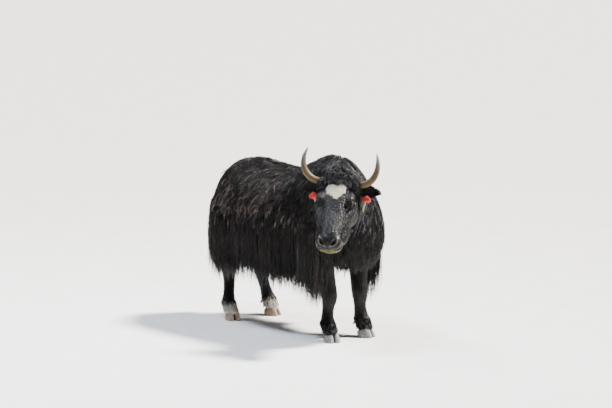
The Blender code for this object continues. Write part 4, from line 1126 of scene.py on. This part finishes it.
EAR = dict(
    FACE, smooth=True, thin=0.3, thick=0.5, pitch=0.0085, each=4, steps=3, width=0.0024,
    radius=0.006, rise=0.004, hug=0.6, droop=0.4, stray=0.25, lie=along_the_ear,
    length=steady(0.032),
)
LEG = dict(
    FACE, pitch=0.0115, width=0.0042, rise=0.0028, lie=straight_down, length=steady(0.022),
    tone=tones((0.002, 0.002, 0.002), (0.012, 0.010, 0.010), patchy(0.30)),
)
FETLOCK = dict(
    LEG, smooth=True, thin=0.3, thick=0.6, pitch=0.0120, each=5, steps=3, width=0.0034,
    radius=0.006, rise=0.004, stray=0.16, curl=0.002, droop=0.8, length=steady(0.034),
    tone=tones((0.006, 0.006, 0.006), PAINTED_SHEEN_TIP, patchy(0.4)),
)
SWITCH = dict(
    SKIRT, pitch=0.0135, each=8, steps=6, width=0.0054, radius=0.012, gather=0.35, curl=0.007,
    waves=1.4, rise=0.006, droop=4.0, stray=0.06, length=to_hocks,
)


# %% Roots of each coat
def hump_share(points):
    return ramp(-points[:, 1], 0.22, 0.34) * ramp(points[:, 2], 0.86, 0.96)


def wool_place(points, ways):
    lower = ramp(points[:, 2] + 0.10 * waver(points, 0.10), 0.58, 0.74)
    return regions(points)["trunk"] * lower * (1 - hump_share(points))


def hump_place(points, ways):
    return regions(points)["trunk"] * (points[:, 2] > 0.70) * hump_share(points)


def skirt_place(points, ways):
    x, y, z = points.T
    outward = ways[:, 0] * np.sign(x)
    side = (outward > np.where(y < -0.35, 0.62, 0.35)) & (np.abs(x) > 0.10)
    front = np.where(x > 0, -0.45, -0.50)
    behind = (y > 0.60) & (z > 0.45)
    return regions(points)["trunk"] * (z > 0.47) * (z < 0.79) * ((side & (y > front)) | behind)


def mane_place(points, ways):
    return regions(points)["neck"] * (points[:, 2] > 0.60)


def chest_place(points, ways):
    x, y, z = points.T
    found = regions(points)
    found = found["neck"] | found["trunk"]
    return found * (y < -0.42) * (z > 0.52) * (z < 0.72) * (ways[:, 1] < 0.2)


def poll_place(points, ways):
    along, left, out = head_places(points).T
    on_boss = 0.028 * ramp(np.abs(left), 0.066, 0.082)
    return regions(points)["head"] * (along < 0.012 + on_boss) * (out > -0.06)


def face_place(points, ways):
    along = head_places(points)[:, 0]
    eye = np.minimum(*(np.linalg.norm(points - np.array(eye_axes(s)[0]), axis=1) for s in BOTH))
    return regions(points)["head"] * (along > 0.004) * (bareness(points) < 0.3) * (eye > 0.0245)


def ear_place(points, ways):
    return regions(points)["ear"] * 1.0


def leg_place(points, ways):
    return regions(points)["leg"] * (points[:, 2] > 0.105)


def fetlock_place(points, ways):
    return regions(points)["leg"] * (points[:, 2] > 0.070) * (points[:, 2] < 0.125)


def tail_place(points, ways):
    return regions(points)["tail"] * 1.0


# %% Growing the coats
for name, style, place in (
    ("wool", WOOL, wool_place), ("hump_hair", HUMP, hump_place), ("skirt", SKIRT, skirt_place),
    ("mane", MANE, mane_place), ("chest_hair", CHEST, chest_place),
    ("poll_curls", CURLS, poll_place), ("face_hair", FACE, face_place),
    ("ear_hair", EAR, ear_place), ("leg_hair", LEG, leg_place),
    ("fetlock_hair", FETLOCK, fetlock_place), ("tail_switch", SWITCH, tail_place),
):
    grow(name, style, place)
bpy.data.objects.remove(ground)


# %% [markdown]
# ## Hair and skin as materials
# Black hair is never quite black: it is brown where the sun has faded it. The brown tips in the
# tint are partly that and partly painted glints of sunlight, and the grey tips are a painted sheen.
# The colour comes from the tint that each mesh carries, broken up by fine noise, and the gloss is
# low and soft. The skin adds the grain of short flat hair as bump, which gives way to pebbled
# leather on the muzzle.

# %% A small kit for materials
class Finish:
    """A material that is built up node by node."""

    def __init__(self, name):
        self.material = bpy.data.materials.new(name)
        self.material.use_nodes = True
        self.nodes, self.links = self.material.node_tree.nodes, self.material.node_tree.links

    def feed(self, node, given):
        """Sets a node's inputs, or links those that are given another node's output."""
        for name, value in given.items():
            if isinstance(value, bpy.types.NodeSocket):
                self.links.new(value, node.inputs[name])
            else:
                node.inputs[name].default_value = value

    def show(self, given):
        """Sets or links inputs of the main shader."""
        self.feed(self.nodes["Principled BSDF"], given)

    def add(self, kind, output, given, **settings):
        """Adds a node, sets and feeds it, and gives one of its outputs."""
        node = self.nodes.new("ShaderNode" + kind)
        for name, value in settings.items():
            setattr(node, name, value)
        self.feed(node, given)
        return node.outputs[output]

    def stored(self, name, output="Color"):
        return self.add("Attribute", output, {}, attribute_name=name)

    def noise(self, scale, detail=4.0, stretch=None):
        """Noise on the piece's own coordinates, stretched where asked."""
        place = self.add("TexCoord", "Object", {})
        if stretch:
            place = self.add("Mapping", "Vector", {"Vector": place, "Scale": stretch})
        given = {"Vector": place, "Scale": scale, "Detail": detail, "Roughness": 0.55}
        return self.add("TexNoise", "Fac", given)

    def remap(self, source, to_low, to_high, low=0.3, high=0.7):
        return self.add("MapRange", "Result", {
            "Value": source, "From Min": low, "From Max": high, "To Min": to_low, "To Max": to_high,
        })

    def math(self, operation, first, second):
        return self.add("Math", "Value", {0: first, 1: second}, operation=operation)

    def scaled(self, colour, factor):
        """A colour made lighter or darker by a factor that changes over the surface."""
        return self.add("VectorMath", "Vector", {0: colour, "Scale": factor}, operation="SCALE")

    def tint(self, noise, darkest, lightest):
        """The tint that the piece carries, made uneven by noise."""
        return self.scaled(self.stored("tint"), self.remap(noise, darkest, lightest))

    def bump(self, height, strength, distance, **more):
        given = {"Height": height, "Strength": strength, "Distance": distance, **more}
        return self.add("Bump", "Normal", given)


# %% Coat and skin
def hair_material(name, roughness, gleam, wavy=0.0):
    """Hair, glossier with more gleam, and broken into small waves where it is wavy."""
    made = Finish(name)
    mottle = made.noise(90.0)
    made.show({
        "Base Color": made.tint(mottle, 0.75, 1.3), "Specular IOR Level": gleam,
        "Roughness": made.remap(mottle, roughness - 0.06, roughness + 0.08),
    })
    if wavy:
        made.show({"Normal": made.bump(made.noise(85.0, 0.6), wavy, 0.010)})
    return made.material


coat_finish = hair_material("yak_hair", 0.32, 0.18)
face_finish = hair_material("yak_face_hair", 0.36, 0.19, 0.30)
for piece in coat_pieces:
    piece.data.materials.append(face_finish if piece.name == "face_hair" else coat_finish)
print("coat pieces:", len(coat_pieces))

# %% The skin's finish
made = Finish("yak_skin")
bare = made.stored("bare", "Fac")
place = made.add("TexCoord", "Object", {})
pebbles = made.add("TexVoronoi", "Distance", {"Vector": place, "Scale": 230.0})
leather = made.bump(made.math("MULTIPLY", pebbles, bare), 0.35, 0.0012)
grain = made.noise(420.0, 3.0, (1.0, 1.0, 0.30))
made.show({
    "Base Color": made.tint(made.noise(38.0), 0.7, 1.35), "Specular IOR Level": 0.15,
    "Roughness": made.remap(bare, 0.50, 0.36, 0.0, 1.0),
    "Normal": made.bump(grain, 0.30, 0.0012, Normal=leather),
})
skin.data.materials.clear()
skin.data.materials.append(made.material)

# %% [markdown]
# ## Horns
# The horns leave the head sideways, turn forward and up, and end in points that lean back. They
# are socks on a smooth path, with low rings of growth near the root. Their colour runs from dull
# olive brown at the root over a warmer middle to a grey and then paler tip, told by a value stored
# along the horn.

# %% Horn shapes
# Sideways, forward and upward places from the skull's origin, and the radius.
HORN = (
    (0.070, 0.000, 0.026, 0.0225), (0.115, 0.004, 0.020, 0.0220), (0.160, 0.012, 0.029, 0.0215),
    (0.200, 0.010, 0.057, 0.0205), (0.225, 0.000, 0.103, 0.0175), (0.229, -0.018, 0.150, 0.0130),
    (0.222, -0.040, 0.186, 0.0080), (0.212, -0.058, 0.210, 0.0020),
)
HORN_STATIONS, HORN_SIDES, HORN_POINT = 64, 24, 0.0016
GROWTH_DEEP, GROWTH_TURN, GROWTH_FADES = 0.035, 1.9, 2.2


def horn(side, label):
    path, radii = [], []
    for k, (left, forward, up, radius) in enumerate(fine_stations(HORN, HORN_STATIONS)):
        share = k / (HORN_STATIONS - 1)
        tilt = UP * (-side * left * math.sin(ROLL))
        path.append(SKULL + LEVEL_LEFT * side * left + HEADING * forward + UP * up + tilt)
        growth = GROWTH_DEEP * math.sin(k * GROWTH_TURN) * max(0.0, 1 - share * GROWTH_FADES)
        radii.append(max(radius, HORN_POINT) * (1 + growth))
    obj = sock("horn_fine_" + label, round_rings(path, radii, HORN_SIDES, HEADING))
    line = np.array([list(p) for p in path])
    off = ((points_of(obj.data)[:, None] - line[None]) ** 2).sum(2)
    set_numbers(obj.data, "along", off.argmin(1) / (HORN_STATIONS - 1))
    obj.data.shade_smooth()
    return obj


# %% Horn's finish
made = Finish("horn_keratin")
streaks = made.noise(55.0, 5.0, (1.0, 1.0, 0.5))
uneven = made.math("ADD", made.stored("along", "Fac"), made.remap(streaks, -0.11, 0.11))
bands = made.nodes.new("ShaderNodeValToRGB")
HORN_COLOURS = (
    (0.0, (0.034, 0.019, 0.004)), (0.20, (0.050, 0.029, 0.006)), (0.42, (0.058, 0.034, 0.011)),
    (0.60, (0.036, 0.024, 0.013)), (0.78, (0.034, 0.026, 0.022)), (1.0, (0.060, 0.050, 0.044)),
)
for position, colour in HORN_COLOURS[2:]:
    bands.color_ramp.elements.new(position)
for element, (position, colour) in zip(bands.color_ramp.elements, HORN_COLOURS):
    element.position, element.color = position, (*colour, 1.0)
made.feed(bands, {"Fac": uneven})
made.show({
    "Base Color": bands.outputs["Color"], "Specular IOR Level": 0.28,
    "Roughness": made.remap(streaks, 0.38, 0.60), "Normal": made.bump(streaks, 0.35, 0.002),
})
horns = [horn(side, label) for side, label in SIDES]
for piece in horns:
    piece.data.materials.append(made.material)

# %% [markdown]
# ## Eyes
# A yak's eye is dark brown with a wide dark pupil, and wet. The ball is a fine sphere, and its
# pupil is a soft oval painted by distance from the eye's own middle axis.

# %% Eyeballs
EYE_GAP = 0.0002
PUPIL_HIGH, PUPIL_LONG = 0.42, 0.62
IRIS, PUPIL_BLACK, EYE_WHITE = (0.030, 0.014, 0.008), 0.002, np.array((0.10, 0.075, 0.065))


def eye(side, label):
    middle, *axes = eye_axes(side)
    obj = ball("eyeball_" + label, middle, axes, (EYE_RADIUS - EYE_GAP,) * 3, 48, 32)
    longways, look, level = (local(points_of(obj.data), middle, axes) / EYE_RADIUS).T
    pupil = 1 - ramp(np.hypot(level / PUPIL_HIGH, longways / PUPIL_LONG), 0.85, 1.0)
    pupil *= look > 0
    white = ramp(1 - look, 0.36, 0.50)
    iris = np.array(IRIS)[None] * (1 - pupil[:, None]) + PUPIL_BLACK
    set_colours(obj.data, "tint", iris + (EYE_WHITE - iris) * white[:, None])
    obj.data.shade_smooth()
    return obj


made = Finish("wet_eye")
made.show({
    "Base Color": made.tint(made.noise(700.0), 0.8, 1.25), "Roughness": 0.06,
    "Coat Weight": 0.8, "Coat Roughness": 0.03,
})
eyes = [eye(side, label) for side, label in SIDES]
for piece in eyes:
    piece.data.materials.append(made.material)

# %% [markdown]
# ## Hooves and dewclaws
# Each toe ends in a wedge of horn. The solids already have their true shape, so a copy of each is
# merged, its edges are rounded with a bevel, and a subdivision lets the wall swell a little. The
# hind ones are pinkish tan, and the front ones are pale grey and worn at the rim.

# %% Rounded copies of the solids
def merge():
    bpy.ops.mesh.remove_doubles(threshold=0.00002)
    bpy.ops.mesh.tris_convert_to_quads(face_threshold=0.6, shape_threshold=0.8)


def softened(node):
    """A merged and rounded copy of a solid, in the frame's own place."""
    source = frame["nodes"][node]
    obj = source.copy()
    obj.data = source.data.copy()
    obj.parent = None
    obj.name = node + "_fine"
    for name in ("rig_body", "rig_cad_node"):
        del obj[name]
    bpy.context.scene.collection.objects.link(obj)
    obj.data.materials.clear()
    edit(obj, merge)
    sharp = math.radians(35)
    apply_modifier(obj, "BEVEL", width=0.0022, segments=2, limit_method="ANGLE", angle_limit=sharp)
    apply_modifier(obj, "SUBSURF", levels=1, render_levels=1)
    obj.data.shade_smooth()
    return obj


def hoof_material(name, light, dark):
    made = Finish(name)
    growth = made.noise(30.0, 4.0, (1.0, 1.0, 9.0))
    dirt = made.noise(85.0, 5.0)
    share = made.remap(growth, 0.0, 1.0, 0.35, 0.7)
    colour = made.add(
        "Mix", "Result", {"Factor": share, "A": (*light, 1.0), "B": (*dark, 1.0)}, data_type="RGBA"
    )
    made.show({
        "Base Color": made.scaled(colour, made.remap(dirt, 0.70, 1.15, 0.35, 0.65)),
        "Roughness": made.remap(dirt, 0.42, 0.65), "Normal": made.bump(growth, 0.5, 0.0015),
    })
    return made.material


# %% All hooves and dewclaws
hoof_finishes = {
    "hind": hoof_material("hind_hoof_horn", (0.30, 0.21, 0.16), (0.18, 0.12, 0.09)),
    "fore": hoof_material("fore_hoof_horn", (0.27, 0.265, 0.265), (0.12, 0.115, 0.12)),
}
hooves = []
for node in sorted(frame["nodes"]):
    if "hoof" in node or "dewclaw" in node:
        piece = softened(node)
        piece.data.materials.append(hoof_finishes[node[:4]])
        hooves.append((piece, node))
print("hooves and dewclaws:", len(hooves))

# %% [markdown]
# ## Tassels
# A tassel of red yarn hangs from each ear, and the pale ends of its cord show below it. Yarn is
# limp and does not taper, so its strands are round tubes that fan out and wave a little, gathered
# under a wound knot.

# %% Yarn
TASSEL_SHARE, TASSEL_LOW, TASSEL_AHEAD = 0.46, 0.72, 0.012
PALE_BELOW, PALE_LEAN = 0.030, 0.020
YARN_STATIONS, YARN_SIDES = 9, 5
YARN_LENGTHS, YARN_TINTS = (0.62, 1.08), (0.7, 1.25)
OUTER_SHORTER, GATHERED = 0.25, 0.10
KNOT_RADIUS, KNOT_BELOW, KNOT_THICK, KNOT_PITCH, KNOT_SHADE = 0.009, 0.002, 1.3, 1.9, 0.8
# Strands, half width and half depth of the fan, length, thickness, colour, windings, flare.
RED = (90, 0.029, 0.012, 0.043, 0.0017, np.array((0.52, 0.006, 0.004)), 3, 1.0)
PALE = (22, 0.005, 0.004, 0.066, 0.0012, np.array((0.50, 0.40, 0.25)), 1, 0.5)


def yarn_faces():
    """One tube's faces round its sides and over its two ends."""
    n, last = YARN_SIDES, (YARN_STATIONS - 1) * YARN_SIDES
    quads = [
        (row + a, row + (a + 1) % n, row + n + (a + 1) % n, row + n + a)
        for row in range(0, last, n) for a in range(n)
    ]
    tris = [(0, k + 1, k) for k in range(1, n - 1)]
    tris += [(last, last + k, last + k + 1) for k in range(1, n - 1)]
    return np.array(quads), np.array(tris)


# %% A bunch of yarn under its knot
def yarn(name, top, lean, count, spread, deep, length, thick, colour, wound, flare):
    """A bunch of soft strands that hang from one place, and a wound knot over them."""
    t = np.linspace(0, 1, YARN_STATIONS)[None, :, None]
    ways = rng.uniform(-1, 1, (count, 2))
    across, ahead = np.array(LEVEL_LEFT), np.array(HEADING)
    fan = across * (ways[:, :1] * spread)[:, None] + ahead * (ways[:, 1:] * deep)[:, None]
    lengths = -length * rng.uniform(*YARN_LENGTHS, (count, 1))
    fall = np.array(UP) * (lengths * (1 - OUTER_SHORTER * ways[:, :1] ** 2))[:, None]
    fall = fall + across * lean
    phase = rng.uniform(0, 2 * math.pi, (count, 1, 1))
    wave = across * np.sin(t * 7 + phase) * 0.0014 * t + ahead * np.cos(t * 6 + phase) * 0.0012 * t
    points = np.array(top) + fan * (GATHERED + (1 - GATHERED) * t**flare) + fall * t + wave
    along = unit(np.gradient(points, axis=1))
    side = unit(np.cross(along, ahead))
    proud = np.cross(side, along)
    angles = np.linspace(0, 2 * math.pi, YARN_SIDES, endpoint=False)[None, None, :, None]
    size = (thick * (1 + 0.12 * np.sin(t * 60 + phase)))[..., None]
    ring = side[:, :, None] * np.cos(angles) + proud[:, :, None] * np.sin(angles)
    corner = (points[:, :, None] + size * ring).reshape(count, -1, 3)
    tint = colour[None] * rng.uniform(*YARN_TINTS, (count, 1))
    tint = np.repeat(tint, corner.shape[1], 0)
    obj = array_mesh(name, corner, *yarn_faces(), None, tint)
    knots = []
    for k in range(wound):
        bpy.ops.object.select_all(action="DESELECT")
        bpy.ops.mesh.primitive_torus_add(
            major_segments=24, minor_segments=8,
            major_radius=KNOT_RADIUS, minor_radius=thick * KNOT_THICK,
        )
        loop = bpy.context.object
        lower = Vector(top) - UP * (KNOT_BELOW + k * thick * KNOT_PITCH)
        loop.data.transform(Matrix.Translation(lower))
        shade = np.repeat(colour[None] * KNOT_SHADE, len(loop.data.vertices), 0)
        set_colours(loop.data, "tint", shade)
        knots.append(loop)
    select_only(obj, *knots)
    bpy.ops.object.join()
    obj.data.shade_smooth()
    return obj


# %% Tassels at the ears
made = Finish("yarn")
fuzz = made.noise(420.0)
made.show({
    "Base Color": made.tint(fuzz, 0.65, 1.25), "Roughness": 0.85, "Sheen Weight": 0.25,
    "Normal": made.bump(fuzz, 0.5, 0.001),
})

tassels = []
for side, label in SIDES:
    opening, upper = ear_frame(side)[2:]
    top = ear_line(side, TASSEL_SHARE) - upper * EAR_HALF_WIDTH * TASSEL_LOW
    top = top + opening * TASSEL_AHEAD
    red = yarn("tassel_yarn_red_" + label, top, 0.0, *RED)
    pale = yarn("tassel_yarn_pale_" + label, top - UP * PALE_BELOW, -PALE_LEAN * side, *PALE)
    tassels.append((red, "tassel_red_" + label, "red_yarn"))
    tassels.append((pale, "tassel_pale_" + label, "pale_yarn"))
    for piece in (red, pale):
        piece.data.materials.append(made.material)
print("tassel pieces:", len(tassels))

# %% [markdown]
# ## Settling the pieces in the frame
# Everything that was made about the animal's feet is moved to where the solids stand, and each
# piece is told which body it rides on and which solids it shows.

# %% Riding on the frame
FLESH = [
    "head", "neck", "torso", "tail", "ear_left", "ear_right", "fore_leg_left", "fore_leg_right",
    "hind_leg_left", "hind_leg_right",
]


def settle(piece, nodes_shown=(), moved=True):
    if moved:
        piece.data.transform(Matrix.Translation(BODY_AT))
    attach(piece, "root")
    if nodes_shown:
        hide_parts(*nodes_shown)


settle(skin, FLESH)
for piece in coat_pieces:
    settle(piece)
for piece, (side, label) in zip(horns, SIDES):
    settle(piece, ["horn_" + label])
for piece, (side, label) in zip(eyes, SIDES):
    settle(piece, ["eye_" + label])
for piece, node in hooves:
    settle(piece, [node], moved=False)
for piece, node, slot in tassels:
    settle(piece, [node])

# %% [markdown]
# ## Floor, light and camera
# A pale seamless floor and soft lights keep the studio quiet. One lamp like a hazy sun stands high
# on the right of the picture, so that it lights the floor evenly and brings out the gloss of the
# black hair, and a bluish one over the head stands for open sky. The camera stands far off with a
# long lens, as in the picture.

# %% Studio
MIDDLE = (0.0, 0.0, 0.7)
bpy.ops.object.select_all(action="DESELECT")
bpy.ops.mesh.primitive_plane_add(size=600.0, location=(0, 0, 0))
floor = bpy.context.object
floor.name = "floor"
made = Finish("pale_floor")
made.show({"Base Color": made.remap(made.noise(3.0), 0.60, 0.64), "Roughness": 0.9})
floor.data.materials.append(made.material)

world = bpy.data.worlds.new("studio")
bpy.context.scene.world = world
world.use_nodes = True
world.node_tree.nodes["Background"].inputs["Color"].default_value = (0.80, 0.84, 0.90, 1.0)
world.node_tree.nodes["Background"].inputs["Strength"].default_value = 0.13


def light(kind, name, place, aim, power, colour=(1.0, 1.0, 1.0), **shape):
    bpy.ops.object.light_add(type=kind, location=place)
    lamp = bpy.context.object
    lamp.name = name
    lamp.data.energy, lamp.data.color = power, colour
    for key, value in shape.items():
        setattr(lamp.data, key, value)
    lamp.rotation_euler = (Vector(aim) - Vector(place)).to_track_quat("-Z", "Y").to_euler()


light("AREA", "sky", (-1.7, 0.0, 4.6), (-0.2, -0.8, 0.85), 300, (0.76, 0.86, 1.0), size=0.8)
light("SUN", "key", (3.0, -1.4, 5.4), MIDDLE, 20.0, (1.0, 0.96, 0.90), angle=math.radians(10))
light("AREA", "front", (-5.0, -4.5, 3.6), MIDDLE, 15, size=2.5)
light("AREA", "side", (3.4, -5.0, 2.4), (0.1, -0.5, 0.8), 160, (1.0, 0.95, 0.88), size=1.4)
light("AREA", "rim", (-1.2, 3.0, 5.0), MIDDLE, 260, size=1.2)

# %% Camera
FOCAL_PIXELS, PICTURE_WIDTH, SENSOR = 2185.0, 612, 36.0
CAMERA_AT, CAMERA_TILT = Vector((-8.525, -10.723, 2.527)), math.radians(82.8)
CAMERA_LOOKS = (0.62447, 0.78105)
camera_data = bpy.data.cameras.new("camera")
camera_data.sensor_width = SENSOR
camera_data.lens = FOCAL_PIXELS * SENSOR / PICTURE_WIDTH
camera = bpy.data.objects.new("camera", camera_data)
bpy.context.scene.collection.objects.link(camera)
camera.location = CAMERA_AT + BODY_AT
camera.rotation_euler = (CAMERA_TILT, 0.0, math.atan2(-CAMERA_LOOKS[0], CAMERA_LOOKS[1]))
bpy.context.scene.camera = camera
